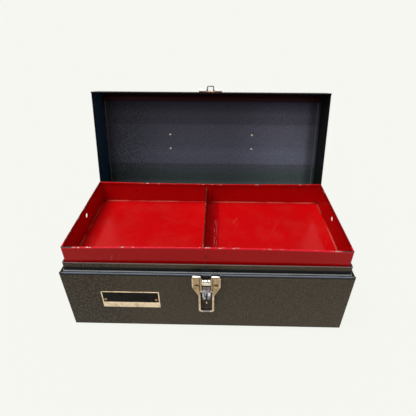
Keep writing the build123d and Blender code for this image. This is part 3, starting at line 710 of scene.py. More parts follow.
# %% [markdown]
# ## The tray's floor
# The floor shows the enamel at its plainest: a red that varies softly, fine scratches and dust. To the right of
# the divider, the divider's shadow is painted as a darker band from front to back, with fine pale rubs in it. They
# could be separate materials on cut faces, but a soft-edged band needs no cut in the mesh.

# %% The tray's floor
FLOOR_FACE, DIVIDER_SHADOW = (TRAY_LOW.z + 0.003, TRAY_LOW.z + 0.002), (0.0, 0.0165, 0.001)
RUBS_ACROSS, RUBS_BACK = (0.0085, 0.0145, 0.0015), (-0.05, 0.02, 0.02)
RED_LOW, RED_HIGH, DUSTY_RED = (0.54, 0.002, 0.003, 1), (0.72, 0.003, 0.005, 1), (0.5, 0.17, 0.13, 1)
DIVIDER_SHADOW_TONE, RUBBED_RED = (0.5, 0.6, 0.8, 1), (0.8, 0.3, 0.3, 1)


def tray_floor(tree, at, dust):
    """The enamel itself with scratches and dust, and on the floor the divider's painted shadow, a band with
    upright rubs.
    """
    red = mix_colour(tree, noise(tree, at.place, 9.0, 3.0), RED_LOW, RED_HIGH)
    marks = use(tree, SCRATCHES, Length=10.0, Fineness=700.0, Amount=0.35)
    red = mix_colour(tree, marks.outputs["Mask"], red, SCRATCHED_RED)
    red = mix_colour(tree, dust, red, DUSTY_RED)
    on_floor = times(tree, inverse(tree, at.walls), stepped(tree, at.height, *FLOOR_FACE))
    # The divider's shadow, painted as a darker band on the floor to its right.
    red = toned(tree, times(tree, between(tree, at.across, *DIVIDER_SHADOW), on_floor, 0.6), red, DIVIDER_SHADOW_TONE)
    drawn_out = add(tree, "ShaderNodeMapping", {"Vector": at.place, "Scale": (900.0, 60.0, 1.0)})
    rubs = stepped(tree, noise(tree, drawn_out.outputs[0], 1.0, 2.0, 0.6), 0.55, 0.66)
    pale_area = times(tree, between(tree, at.across, *RUBS_ACROSS), between(tree, at.back, *RUBS_BACK))
    return mix_colour(tree, times(tree, rubs, pale_area, on_floor, 0.55), red, RUBBED_RED)


print("tray floor from mm", round(TRAY_LOW.z * 1000, 1))

# %% [markdown]
# ## The tray's walls
# The walls are a deeper red than the floor as painted shade, and deeper still at their foot and under the hem,
# where painted shadow falls. The fold up from the floor carries a painted highlight in patches, a smudge sits in
# the middle of the front, and three small dark spots on the back wall. A spot is a distance from one point, which
# stays round on a bent wall, where a painted dot would stretch.

# %% The tray's walls
WALL_FOOT, UNDER_HEM = (TRAY_LOW.z + 0.007, TRAY_LOW.z + 0.003), (TRAY_HIGH.z - 0.0062, TRAY_HIGH.z - 0.0034)
FRONT_WALL, FRONT_SMUDGE = (TRAY_LOW.y + 0.006, TRAY_LOW.y + 0.005), (-0.004, 0.0035, 0.003)
FOLD_IN, FOLD_UP = (0.0006, 0.0026, 0.0003), (TRAY_LOW.z + 0.0004, TRAY_LOW.z + 0.0026, 0.0003)
SPOT_SIZE = (0.0016, 0.0009)
# Painted shade on the walls, at their foot, under the hem and in the corners, and a painted highlight on the fold
# up from the floor; the smudge and the spots are real marks.
OUTER_WALL_SHADE, INNER_WALL_SHADE = (0.66, 0.8, 0.62, 1), (0.77, 0.7, 0.7, 1)
WALL_FOOT_SHADE, SMUDGE_TONE, UNDER_HEM_SHADOW = (0.6, 0.3, 0.3, 1), (0.72, 0.4, 0.5, 1), (0.66, 0.6, 0.6, 1)
CORNER_SHADE_RED, TRAY_FOLD_HIGHLIGHT, DARK_SPOT = (0.03, 0.0, 0.001, 1), (0.7, 0.16, 0.12, 1), (0.02, 0.004, 0.004, 1)
TRAY_SPOTS = ((-0.1315, 0.0828, 0.133), (-0.1659, 0.0838, 0.1154), (0.043, 0.0835, 0.1209))


def tray_walls(tree, red, at):
    """Painted shade on the walls, darker at the foot and under the hem, a painted highlight where the floor folds
    up.
    """
    red = toned(tree, at.walls, red, mix_colour(tree, at.within, OUTER_WALL_SHADE, INNER_WALL_SHADE))
    foot = times(tree, stepped(tree, at.height, *WALL_FOOT), at.walls, inverse(tree, at.within))
    red = toned(tree, foot, red, WALL_FOOT_SHADE)
    patches = stepped(tree, noise(tree, at.place, 160.0, 2.0), 0.42, 0.62)
    smudge = times(tree, between(tree, at.across, *FRONT_SMUDGE), patches)
    smudge = times(tree, smudge, stepped(tree, at.back, *FRONT_WALL))
    red = toned(tree, times(tree, smudge, at.walls), red, SMUDGE_TONE)
    under_hem = times(tree, between(tree, at.height, *UNDER_HEM), at.walls, at.within)
    red = toned(tree, under_hem, red, UNDER_HEM_SHADOW)
    red = shaded(tree, red, 0.006, 0.25, CORNER_SHADE_RED)
    inward = in_from(tree, TRAY_HIGH, at.across, at.back)[1]
    fold = times(tree, between(tree, inward, *FOLD_IN), between(tree, at.height, *FOLD_UP))
    patches = stepped(tree, noise(tree, at.place, 30.0, 3.0), 0.35, 0.6)
    red = mix_colour(tree, times(tree, fold, at.within, patches, 0.55), red, TRAY_FOLD_HIGHLIGHT)
    for spot in TRAY_SPOTS:
        away = add(tree, "ShaderNodeVectorMath", {0: at.place, 1: spot}, operation="DISTANCE")
        red = mix_colour(tree, stepped(tree, away.outputs["Value"], *SPOT_SIZE), red, DARK_SPOT)
    return red


print("dark spots on the tray's back wall:", len(TRAY_SPOTS))

# %% [markdown]
# ## The tray's rim
# The hemmed rim takes every knock: the enamel is chipped to bare steel along it and worn dark at the front
# corners, and the hem of the front carries a painted highlight in brighter red. A chipped edge could be cut into
# the mesh, but at this size only its colour shows, and the same mask lowers the surface in the bump.

# %% The tray's rim
HEM_TOP, RIM_TOP = (TRAY_HIGH.z - 0.0027, TRAY_HIGH.z - 0.0014), (TRAY_HIGH.z - 0.0014, TRAY_HIGH.z - 0.0003)
FRONT_HEM, END_HEMS = (TRAY_LOW.y + 0.012, TRAY_LOW.y + 0.009), (TRAY_HIGH.x - 0.0045, TRAY_HIGH.x - 0.0035)
CORNER_ACROSS = (TRAY_HIGH.x - 0.02, TRAY_HIGH.x - 0.014)
CORNER_BACK = (TRAY_LOW.y + 0.0032, TRAY_LOW.y + 0.0022)
# The front hem's brighter red is a painted highlight.
RIM_TONE, HEM_HIGHLIGHT_RED = (0.42, 0.5, 0.5, 1), (0.92, 0.012, 0.035, 1)
CHIPPED_STEEL, DARK_CORNER = (0.36, 0.33, 0.29, 1), (0.045, 0.045, 0.04, 1)


def tray_rim(tree, red, at):
    """A painted highlight in bright red on the front hem, dull ends, chips down to steel and dark front corners.
    """
    top = stepped(tree, at.height, *HEM_TOP)
    hem = times(tree, top, stepped(tree, at.back, *FRONT_HEM))
    ends = times(tree, top, stepped(tree, at.off_middle, *END_HEMS), inverse(tree, hem, clamp=True))
    red = toned(tree, ends, red, RIM_TONE)
    red = mix_colour(tree, times(tree, hem, 0.75), red, HEM_HIGHLIGHT_RED)
    rim = stepped(tree, at.height, *RIM_TOP)
    chips = times(tree, rim, stepped(tree, noise(tree, at.place, 85.0, 6.0, 0.7), 0.575, 0.6))
    worn = use(tree, WORN, Reach=0.0007, Amount=0.35, Patch=120.0)
    bare = math_node(tree, "MAXIMUM", chips, worn.outputs["Mask"])
    corner = times(tree, stepped(tree, at.off_middle, *CORNER_ACROSS), stepped(tree, at.back, *CORNER_BACK))
    bare = math_node(tree, "MAXIMUM", bare, times(tree, rim, corner))
    metal = mix_colour(tree, corner, CHIPPED_STEEL, DARK_CORNER)
    return mix_colour(tree, bare, red, metal), bare


print("tray rim at mm", round(TRAY_HIGH.z * 1000, 1))

# %% [markdown]
# ## The whole tray paint
# The red passes from floor to walls to rim, and the shader takes it at the end. Dust dulls the gloss
# and bare metal is half metallic, so both masks are used a second time. A fine noise in the bump is
# the enamel's orange peel, which a perfectly smooth gloss would lack.

# %% Tray paint
def tray_paint():
    """Red gloss enamel: orange peel, chips along the rim, scratches and dust inside."""
    made, tree, shader = blank_material("tray_red_enamel", Coat_Weight=0.0, Specular_IOR_Level=0.14)
    at = tray_places(tree)
    dust = use(tree, DUST, Amount=0.08, Patch=26.0).outputs["Mask"]
    red = tray_walls(tree, tray_floor(tree, at, dust), at)
    red, bare = tray_rim(tree, red, at)
    feed(tree, shader, Base_Color=red, Metallic=times(tree, bare, 0.5),
         Roughness=roughened(tree, dust, 0.4, 0.2))
    peel = noise(tree, at.place, 420.0, 2.0)
    bumped(tree, shader, math_node(tree, "SUBTRACT", peel, times(tree, bare, 0.9)), 0.12, 0.0005)
    return made


TRAY_PAINT = tray_paint()
print("tray paint nodes", len(TRAY_PAINT.node_tree.nodes))

# %% [markdown]
# ## The divider's enamel
# The loose divider has the tray's enamel, a little deeper in colour as painted shade. Only the top edge of its
# sheet has lost its paint, and the metal there has gone brown. A mask by height alone would bare the tops of the
# flanges too, so it is limited to the sheet by its place.

# %% Divider paint
DIVIDER_LOW, DIVIDER_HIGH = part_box("tray_divider")
TOP_EDGE = (DIVIDER_HIGH.z - 0.0016, DIVIDER_HIGH.z - 0.0009)
SHEET_SIDE = (DIVIDER_LOW.x + 0.0016, DIVIDER_LOW.x + 0.0011)
# The divider's reds are deeper than the tray's as painted shade.
DIVIDER_SHADED_RED_LOW, DIVIDER_SHADED_RED_HIGH = (0.44, 0.002, 0.003, 1), (0.56, 0.003, 0.004, 1)
BROWN_METAL, PALE_METAL = (0.07, 0.04, 0.022, 1), (0.36, 0.26, 0.17, 1)


def divider_paint():
    """The divider's red enamel, deeper as painted shade, worn to dark metal along its top edge."""
    made, tree, shader = blank_material("divider_red_enamel", Coat_Weight=0.0, Specular_IOR_Level=0.14)
    place = object_place(tree)
    across, _, height = parts_of(tree, place)
    red = mix_colour(tree, noise(tree, place, 14.0, 3.0), DIVIDER_SHADED_RED_LOW, DIVIDER_SHADED_RED_HIGH)
    marks = use(tree, SCRATCHES, Length=14.0, Fineness=900.0, Amount=0.4)
    red = mix_colour(tree, marks.outputs["Mask"], red, SCRATCHED_RED)
    edge = times(tree, stepped(tree, height, *TOP_EDGE), stepped(tree, across, *SHEET_SIDE))
    patch = noise(tree, place, 90.0, 4.0, 0.6)
    metal = mix_colour(tree, stepped(tree, patch, 0.5, 0.62), BROWN_METAL, PALE_METAL)
    red = mix_colour(tree, edge, red, metal)
    feed(tree, shader, Base_Color=red, Metallic=times(tree, edge, 0.4),
         Roughness=roughened(tree, patch, 0.2, 0.2))
    bumped(tree, shader, noise(tree, place, 420.0, 2.0), 0.12, 0.0005)
    return made


DIVIDER_PAINT = divider_paint()
print("divider's top edge at mm", round(DIVIDER_HIGH.z * 1000, 1))

# %% [markdown]
# ## Plated steel
# Handle, rivets, pins and staple are nickel or zinc plated steel, dulled in patches and scratched.
# One function makes them all from a clean colour and a stained one, because plating always ages in
# the same way: the stain is a fine noise, and it is rougher than the clean metal beside it.

# %% Plated steel
# Scratches shine pale; recesses take painted shade and grime.
SCRATCH_SHINE, METAL_SHADE_GRIME = (0.85, 0.82, 0.76, 1), (0.02, 0.016, 0.012, 1)


def plated(name, clean, stained, roughness, recess=0.75, brushed=0.0):
    """Plated steel: a clean colour, patches of stain, fine scratches, and painted shade and grime in recesses."""
    made, tree, shader = blank_material(name, Metallic=1.0)
    place = object_place(tree)
    stain = stepped(tree, noise(tree, place, 150.0, 5.0, 0.6), 0.42, 0.66)
    colour = mix_colour(tree, stain, (*clean, 1), (*stained, 1))
    marks = use(tree, SCRATCHES, Length=60.0, Fineness=4500.0, Amount=0.6)
    colour = mix_colour(tree, marks.outputs["Mask"], colour, SCRATCH_SHINE)
    colour = shaded(tree, colour, 0.006, recess, METAL_SHADE_GRIME)
    feed(tree, shader, Base_Color=colour, Roughness=roughened(tree, stain, 0.16, roughness))
    fine = noise(tree, place, 1500.0, 2.0)
    soft = noise(tree, place, 120.0, 2.0)
    bumped(tree, shader, math_node(tree, "ADD", times(tree, fine, 0.2 + brushed), soft), 0.14, 0.0004)
    return made


DARK_STEEL = plated("staple_steel", (0.17, 0.18, 0.155), (0.06, 0.06, 0.055), 0.3)
# The nickel's tan is partly the plating's own tone and partly a painted reflection.
NICKEL = plated("nickel_plate", (0.5, 0.37, 0.23), (0.33, 0.23, 0.13), 0.22)
BRIGHT_PIN = plated("bright_pin", (0.93, 0.93, 0.95), (0.6, 0.6, 0.63), 0.15, 0.2)
PALE_PIN = plated("pale_catch", (0.95, 0.84, 0.68), (0.85, 0.72, 0.55), 0.35, 0.2)
CHROME = plated("bright_plate", (0.5, 0.5, 0.52), (0.24, 0.22, 0.22), 0.12, 1.1)
STEEL = plated("zinc_steel", (0.5, 0.46, 0.38), (0.3, 0.26, 0.2), 0.32, 0.6, 0.3)
BRASS = plated("dull_pin", (0.4, 0.25, 0.12), (0.25, 0.15, 0.08), 0.35)
print("plated:", [m.name for m in (DARK_STEEL, NICKEL, BRIGHT_PIN, PALE_PIN, CHROME, STEEL, BRASS)])

# %% [markdown]
# ## The latch lever
# The lever is old nickel: tan on the ears and paler on the legs and rails, partly the plating's own tones and
# partly painted reflection. It has painted shade in the crease of each ear, is blotched, and has a painted
# highlight along the front of its top edge and painted shade on its top and just below it. It could share the
# handle's plating, but it is the piece that the eye goes to, so it has its own finish.

# %% Lever
LATCH_LOW, LATCH_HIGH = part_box("latch_lever")
EARS_TO_LEGS, RAILS = (0.083, 0.075), (0.0176, 0.0186)
CREASE_ACROSS, CREASE_UP = (0.0083, 0.0096, 0.0003), (0.089, 0.1135, 0.001)
BAR_UP, BAR_ACROSS = (LATCH_LOW.z + 0.0032, LATCH_LOW.z + 0.0024), (0.0055, 0.0035)
CROWN = (LATCH_HIGH.z - 0.0015, LATCH_HIGH.z - 0.0009)
BELOW_CROWN = (LATCH_HIGH.z - 0.0024, LATCH_HIGH.z - 0.0017)
CROWN_FRONT = (LATCH_LOW.y + 0.0034, LATCH_LOW.y + 0.0026)
# Tan and pale are partly the plating's own tones and partly painted reflection; the crease colour is painted
# shade, the crown's colours are painted shade and a painted highlight, and recesses take painted shade and grime.
TAN_CLEAN, TAN_STAINED = (0.5, 0.35, 0.2, 1), (0.32, 0.215, 0.115, 1)
PALE_CLEAN, PALE_STAINED = (0.76, 0.6, 0.42, 1), (0.56, 0.42, 0.27, 1)
CREASE_SHADE, BLOT_BROWN, BAR_GREY = (0.06, 0.038, 0.02, 1), (0.13, 0.085, 0.05, 1), (0.3, 0.28, 0.32, 1)
LEVER_SHINE, LEVER_SHADE_GRIME = (0.85, 0.8, 0.72, 1), (0.014, 0.011, 0.008, 1)
CROWN_SHADE, CROWN_HIGHLIGHT = (0.012, 0.01, 0.008, 1), (0.98, 0.96, 0.92, 1)
CROWN_FOOT_SHADE = (0.05, 0.03, 0.015, 1)


def lever_plate():
    """The lever's old nickel: tan ears, paler legs, painted shade in the creases, a painted highlight along its
    top edge.
    """
    made, tree, shader = blank_material("lever_nickel", Metallic=1.0)
    place = object_place(tree)
    across, depth, height = parts_of(tree, place)
    off_middle = math_node(tree, "ABSOLUTE", across)
    stain = stepped(tree, noise(tree, place, 130.0, 5.0, 0.65), 0.38, 0.66)
    tan = mix_colour(tree, stain, TAN_CLEAN, TAN_STAINED)
    pale = mix_colour(tree, stain, PALE_CLEAN, PALE_STAINED)
    crease_line = times(tree, between(tree, off_middle, *CREASE_ACROSS), between(tree, height, *CREASE_UP))
    blots = stepped(tree, noise(tree, place, 330.0, 3.0, 0.6), 0.56, 0.64)
    bar = times(tree, stepped(tree, height, *BAR_UP), stepped(tree, off_middle, *BAR_ACROSS))
    colour = mix_colour(tree, stepped(tree, height, *EARS_TO_LEGS), tan, pale)
    colour = mix_colour(tree, stepped(tree, off_middle, *RAILS), colour, pale)
    # Painted shade in each ear's crease.
    colour = mix_colour(tree, times(tree, crease_line, 0.85), colour, CREASE_SHADE)
    colour = mix_colour(tree, times(tree, blots, 0.5), colour, BLOT_BROWN)
    colour = mix_colour(tree, bar, colour, BAR_GREY)
    marks = use(tree, SCRATCHES, Length=60.0, Fineness=4500.0, Amount=0.5)
    colour = mix_colour(tree, marks.outputs["Mask"], colour, LEVER_SHINE)
    colour = shaded(tree, colour, 0.004, 0.95, LEVER_SHADE_GRIME)
    # Painted shade on the crown's top and just below it, and a painted highlight along its front.
    crown = stepped(tree, height, *CROWN)
    colour = mix_colour(tree, crown, colour, CROWN_SHADE)
    colour = mix_colour(tree, times(tree, crown, stepped(tree, depth, *CROWN_FRONT)), colour, CROWN_HIGHLIGHT)
    colour = mix_colour(tree, times(tree, between(tree, height, *BELOW_CROWN), 0.8), colour, CROWN_FOOT_SHADE)
    feed(tree, shader, Base_Color=colour, Roughness=roughened(tree, stain, 0.16, 0.3))
    bumped(tree, shader, noise(tree, place, 120.0, 3.0), 0.14, 0.0004)
    return made


LEVER_PLATE = lever_plate()
print("lever from mm", round(LATCH_LOW.z * 1000, 1), "to", round(LATCH_HIGH.z * 1000, 1))

# %% [markdown]
# ## The link and its base
# Behind the lever a bright link hangs from the base's rolled knuckle. Seen through the lever's window from the
# bottom up, its colours are mostly painted reflection, highlight and shade: streaky bright feet, a grey block with
# pink and black patches, a dark gap of painted shadow, and a pale roll with a thin painted highlight on its edge.
# Two materials could do it, one for each piece, but both pieces change at the same heights, so one row of colours
# serves them both.

# %% Link and base
BLOCK, FEET = (0.0848, 0.0936, 0.0004), (0.0845, 0.0835)
# Painted reflections, highlights and shadow by height, lowest first.
LINK_LIGHT_ROWS = (
    (0.064, (0.7, 0.72, 0.8)), (0.079, (0.8, 0.84, 0.92)), (0.0836, (0.85, 0.86, 0.9)),
    (0.085, (0.2, 0.18, 0.19)), (0.0936, (0.15, 0.14, 0.14)), (0.0941, (0.006, 0.006, 0.007)),
    (0.096, (0.006, 0.006, 0.007)), (0.0966, (0.85, 0.74, 0.56)), (0.1051, (0.92, 0.84, 0.68)),
    (0.1056, (0.22, 0.21, 0.2)), (0.1065, (0.26, 0.25, 0.24)), (0.10685, (0.95, 0.95, 0.95)),
)
STREAK_REFLECTION_BLUE, PINK_REFLECTION = (0.05, 0.06, 0.1, 1), (0.5, 0.3, 0.29, 1)
BLACK_REFLECTION, LINK_SHADE_GRIME = (0.02, 0.02, 0.022, 1), (0.015, 0.013, 0.012, 1)


def link_plate():
    """The link and its base in painted reflections by height: bright rolls, a dark gap of painted shadow, a patchy
    block, then streaky bright feet.
    """
    made, tree, shader = blank_material("link_plate", Metallic=1.0)
    place = object_place(tree)
    height = parts_of(tree, place)[2]
    plain = colours_by_height(tree, height, LINK_LIGHT_ROWS)
    drawn_out = add(tree, "ShaderNodeMapping", {"Vector": place, "Scale": (520.0, 520.0, 55.0)})
    streaks = noise(tree, drawn_out.outputs[0], 1.0, 2.0, 0.6)
    patch = noise(tree, place, 420.0, 3.0, 0.6)
    block = between(tree, height, *BLOCK)
    dark = times(tree, stepped(tree, streaks, 0.47, 0.54), stepped(tree, height, *FEET))
    pink = times(tree, stepped(tree, patch, 0.54, 0.62), block)
    black = times(tree, stepped(tree, patch, 0.46, 0.4), block)
    colour = mix_colour(tree, times(tree, dark, 0.85), plain, STREAK_REFLECTION_BLUE)
    colour = mix_colour(tree, times(tree, pink, 0.7), colour, PINK_REFLECTION)
    colour = mix_colour(tree, times(tree, black, 0.85), colour, BLACK_REFLECTION)
    colour = shaded(tree, colour, 0.003, 0.6, LINK_SHADE_GRIME)
    feed(tree, shader, Base_Color=colour, Roughness=roughened(tree, streaks, 0.2, 0.16))
    bumped(tree, shader, streaks, 0.2, 0.0003)
    return made


LINK_PLATE = link_plate()
print("link colours by height:", len(LINK_LIGHT_ROWS))

# %% [markdown]
# ## The strike
# The strike on the lid's front takes the lever's hooks. The tips of its two lips are bright, their feet dark and
# patchy, and the bridge between them is tan with painted shade on its top. A gradient along the lid's front
# direction tells tips from feet, also while the lid swings, because it is measured on the piece itself.

# %% Strike
LIP_TIP, BRIDGE_TIP = (LID_FACE + 0.0022, LID_FACE + 0.0032), (LID_FACE + 0.0026, LID_FACE + 0.0031)
BRIDGE_SPAN = (0.0075, 0.0065)
# The bridge's dark top is painted shade.
LIP_DARK, LIP_PALE, LIP_BRIGHT = (0.05, 0.03, 0.04, 1), (0.4, 0.27, 0.25, 1), (0.96, 0.95, 0.92, 1)
BRIDGE_PALE, BRIDGE_DARK, BRIDGE_TOP_SHADE = (0.5, 0.32, 0.23, 1), (0.36, 0.22, 0.15, 1), (0.05, 0.045, 0.045, 1)


def strike_metal():
    """The strike's lips: bright at their tips, dark and patchy down by the lid; the bridge's top in painted shade.
    """
    made, tree, shader = blank_material("strike_nickel", Metallic=1.0)
    place = object_place(tree)
    off_middle = math_node(tree, "ABSOLUTE", parts_of(tree, place)[0])
    stand = along(tree, place, LID_FRONT)
    patch = noise(tree, place, 260.0, 3.0, 0.6)
    lip = mix_colour(tree, patch, LIP_DARK, LIP_PALE)
    lip = mix_colour(tree, stepped(tree, stand, *LIP_TIP), lip, LIP_BRIGHT)
    bridge = mix_colour(tree, patch, BRIDGE_PALE, BRIDGE_DARK)
    bridge = mix_colour(tree, stepped(tree, stand, *BRIDGE_TIP), bridge, BRIDGE_TOP_SHADE)
    colour = mix_colour(tree, stepped(tree, off_middle, *BRIDGE_SPAN), lip, bridge)
    feed(tree, shader, Base_Color=colour, Roughness=roughened(tree, patch, 0.2, 0.22))
    bumped(tree, shader, patch, 0.12, 0.0003)
    return made


STRIKE_METAL = strike_metal()
print("finishes:", [m.name for m in bpy.data.materials])

# %% [markdown]
# ## Dressing the CAD nodes
# The sheet pieces of the CAD model already have the right shape, so they keep their own meshes and
# only get a finish. A list of node and finish says it at a glance, and a node that is missing from
# it stops the script.

# %% A finish for every node
FINISHES = {
    "body_wrap": BODY_PAINT, "body_end_left": BODY_PAINT, "body_end_right": BODY_PAINT,
    "collar_frame": BODY_PAINT, "tray_ledge_left": BODY_PAINT, "tray_ledge_right": BODY_PAINT,
    "lid_wrap": LID_PAINT, "lid_end_left": LID_PAINT, "lid_end_right": LID_PAINT,
    "hinge_leaf_body": BODY_PAINT, "hinge_leaf_lid": LID_PAINT, "hinge_pin": STEEL,
    "tray_pan": TRAY_PAINT, "tray_divider": DIVIDER_PAINT,
    "latch_base_pin": STEEL, "latch_lever_pin": BRIGHT_PIN, "latch_stud": PALE_PIN,
    "latch_base": LINK_PLATE, "latch_link": LINK_PLATE, "latch_lever": LEVER_PLATE,
    "strike_plate": STRIKE_METAL, "padlock_staple": DARK_STEEL,
    "handle_bracket_left": NICKEL, "handle_bracket_right": NICKEL, "handle_bail": NICKEL,
    "latch_base_rivets": CHROME, "strike_rivets": NICKEL, "handle_rivets": STEEL,
    "nameplate_pins": BRASS, "nameplate": STEEL,
}


def paint(piece, material):
    """One finish over the whole piece."""
    piece.data.materials.clear()
    piece.data.materials.append(material)


for node_name, node in cad.items():
    paint(node, FINISHES[node_name])
print("finished nodes:", len(FINISHES))

# %% [markdown]
# ## The stampings' soft edges
# The stamped fittings are different: a real stamping has softened edges that catch the light. The
# Bevel node could fake that in the shader, but the outline would stay sharp. So a copy of each
# node's mesh has its doubled points merged and its flat triangles dissolved, a Bevel modifier
# rounds its edges, and the copy replaces the node.

# %% Soften the stampings' edges
MERGE_WITHIN = 2e-6
FLAT_WITHIN, SHARP_OVER = math.radians(1.0), math.radians(32)


def body_name(node_name):
    """The body that a CAD node rides on."""
    bodies = frame["record"]["behaviour"]["bodies"]
    return next(body for body, members in bodies.items() if node_name in members)


def softened(node_name, radius):
    """A copy of a node with rounded edges, in the node's place."""
    form = bmesh.new()
    form.from_mesh(cad[node_name].data)
    bmesh.ops.remove_doubles(form, verts=form.verts, dist=MERGE_WITHIN)
    bmesh.ops.dissolve_limit(form, angle_limit=FLAT_WITHIN, verts=form.verts, edges=form.edges)
    mesh = bpy.data.meshes.new(node_name + "_soft")
    form.to_mesh(mesh)
    form.free()
    mesh.materials.append(FINISHES[node_name])
    piece = bpy.data.objects.new(node_name + "_soft", mesh)
    bpy.context.scene.collection.objects.link(piece)
    for face in mesh.polygons:
        face.use_smooth = True
    rounding = piece.modifiers.new("edges", "BEVEL")
    rounding.width = radius
    rounding.segments = 2
    rounding.limit_method = "ANGLE"
    rounding.angle_limit = SHARP_OVER
    rounding.harden_normals = True
    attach(piece, body_name(node_name))
    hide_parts(node_name)
    return piece


for stamping, radius in (
    ("latch_lever", 0.00028), ("latch_link", 0.0002), ("latch_base", 0.0002),
    ("strike_plate", 0.00022), ("padlock_staple", 0.0003),
    ("handle_bracket_left", 0.0003), ("handle_bracket_right", 0.0003),
):
    piece = softened(stamping, radius)
    print(piece.name, len(piece.data.vertices), "points before its bevel")

# %% [markdown]
# ## The tray's bowed walls
# The tray's long walls have been pulled in over the years: from above they bow towards each other,
# most at the middle of the rim and not at all at the floor and the ends. The CAD tray is straight,
# so a copy of it takes its place. Straight cuts across its length give the copy enough points to
# bend, and a formula moves them: the bow falls off as a parabola to the ends and in proportion to
# the height above the floor. A lattice or a curve modifier could do the same, with less control.

# %% Bow the tray
RIM_BOW = 0.0036
BOW_CUTS = 24
STRAIGHT_END = 0.004
# The long walls start at this share of half the tray's depth.
WALLS_FROM = 0.8
TRAY_FLAT_WITHIN = math.radians(0.5)


def bowed_tray():
    """A copy of the tray with its long walls drawn in."""
    form = bmesh.new()
    form.from_mesh(cad["tray_pan"].data)
    bmesh.ops.remove_doubles(form, verts=form.verts, dist=MERGE_WITHIN)
    bmesh.ops.dissolve_limit(form, angle_limit=TRAY_FLAT_WITHIN, verts=form.verts, edges=form.edges)
    reach = TRAY_HIGH.x - TRAY_LOW.x
    for cut in range(1, BOW_CUTS):
        at = TRAY_LOW.x + reach * cut / BOW_CUTS
        bmesh.ops.bisect_plane(form, geom=form.verts[:] + form.edges[:] + form.faces[:],
                               plane_co=(at, 0, 0), plane_no=(1, 0, 0))
    half_depth = (TRAY_HIGH.y - TRAY_LOW.y) / 2
    for point in form.verts:
        off = point.co.y - TRAY_MIDDLE.y
        if abs(off) > half_depth * WALLS_FROM:
            share = (point.co.z - TRAY_LOW.z) / (TRAY_HIGH.z - TRAY_LOW.z)
            fade = 1.0 - min(1.0, abs(point.co.x) / (reach / 2 - STRAIGHT_END)) ** 2
            point.co.y -= math.copysign(RIM_BOW * share * fade, off)
    bmesh.ops.triangulate(form, faces=[f for f in form.faces if len(f.verts) > 4])
    mesh = bpy.data.meshes.new("tray_pan_bowed")
    form.to_mesh(mesh)
    form.free()
    mesh.materials.append(TRAY_PAINT)
    return mesh


tray = bpy.data.objects.new("tray_pan_bowed", bowed_tray())
bpy.context.scene.collection.objects.link(tray)
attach(tray, body_name("tray_pan"))
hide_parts("tray_pan")
print("tray points", len(tray.data.vertices), "bow mm", RIM_BOW * 1000)

# %% [markdown]
# ## Rivets
# A rivet has a domed head on one side of the sheets and a smaller set tail on the other. There are
# several groups of them, so one Geometry Nodes tree makes them all: it stands a dome and a tail on
# every point it is given and turns them to the way that the rivet faces. The points come from the
# CAD solids, which say where each rivet is and how thick the sheets under it are.

# %% The rivet tree
def rivet_tree():
    """Domed rivets on points, head along Facing."""
    tree, taken, given = group(
        "domed_rivets", "GeometryNodeTree",
        {"Geometry": ("Geometry", None), "Facing": ("Vector", (0.0, 0.0, 1.0)),
         "Head Radius": ("Float", 0.0026), "Head Height": ("Float", 0.0011),
         "Tail Radius": ("Float", 0.0023), "Tail Height": ("Float", 0.0009),
         "Grip": ("Float", 0.002), "Finish": ("Material", None)},
        {"Geometry": "Geometry"},
    )
    put = taken.outputs
    ball = add(tree, "GeometryNodeMeshUVSphere", {"Segments": 28, "Rings": 14, "Radius": 1.0})
    head_size = add(tree, "ShaderNodeCombineXYZ",
                    {"X": put["Head Radius"], "Y": put["Head Radius"], "Z": put["Head Height"]})
    head = add(tree, "GeometryNodeTransform",
               {"Geometry": ball.outputs["Mesh"], "Scale": head_size.outputs[0]})
    tail_size = add(tree, "ShaderNodeCombineXYZ",
                    {"X": put["Tail Radius"], "Y": put["Tail Radius"], "Z": put["Tail Height"]})
    drop = add(tree, "ShaderNodeCombineXYZ", {"Z": times(tree, put["Grip"], -1.0)})
    tail = add(tree, "GeometryNodeTransform", {
        "Geometry": ball.outputs["Mesh"], "Scale": tail_size.outputs[0], "Translation": drop.outputs[0],
    })
    both = tree.nodes.new("GeometryNodeJoinGeometry")
    tree.links.new(head.outputs[0], both.inputs[0])
    tree.links.new(tail.outputs[0], both.inputs[0])
    turn = add(tree, "FunctionNodeAlignRotationToVector", {"Vector": put["Facing"]}, axis="Z")
    stood = add(tree, "GeometryNodeInstanceOnPoints",
                {"Points": put["Geometry"], "Instance": both.outputs[0], "Rotation": turn.outputs[0]})
    real = add(tree, "GeometryNodeRealizeInstances", {"Geometry": stood.outputs[0]})
    smooth = add(tree, "GeometryNodeSetShadeSmooth", {"Geometry": real.outputs[0]})
    done = add(tree, "GeometryNodeSetMaterial", {"Geometry": smooth.outputs[0], "Material": put["Finish"]})
    tree.links.new(done.outputs[0], given.inputs["Geometry"])
    return tree


RIVETS = rivet_tree()
print("tree", RIVETS.name, "nodes", len(RIVETS.nodes))

# %% [markdown]
# ## Where the rivets are
# A node of the CAD model holds a whole row of rivets. Points that hang together by edges are one
# rivet, so a walk from point to point tells them apart. Their places could be copied out as numbers,
# but read from the node they stay right when the model changes. The tree is then run on one loose
# point for each rivet, and its result is kept as a plain mesh, which the export needs.

# %% Where the rivets are
def solids_of(node_name):
    """The separate solids of a node, each as its list of points."""
    form = bmesh.new()
    form.from_mesh(cad[node_name].data)
    bmesh.ops.remove_doubles(form, verts=form.verts, dist=MERGE_WITHIN)
    reached, solids = set(), []
    for start in form.verts:
        if start in reached:
            continue
        reached.add(start)
        ahead, solid = [start], []
        while ahead:
            point = ahead.pop()
            solid.append(point.co.copy())
            for joined in point.link_edges:
                other = joined.other_vert(point)
                if other not in reached:
                    reached.add(other)
                    ahead.append(other)
        solids.append(solid)
    form.free()
    return sorted(solids, key=lambda s: (round(min(p.x for p in s), 5), round(min(p.z for p in s), 5)))


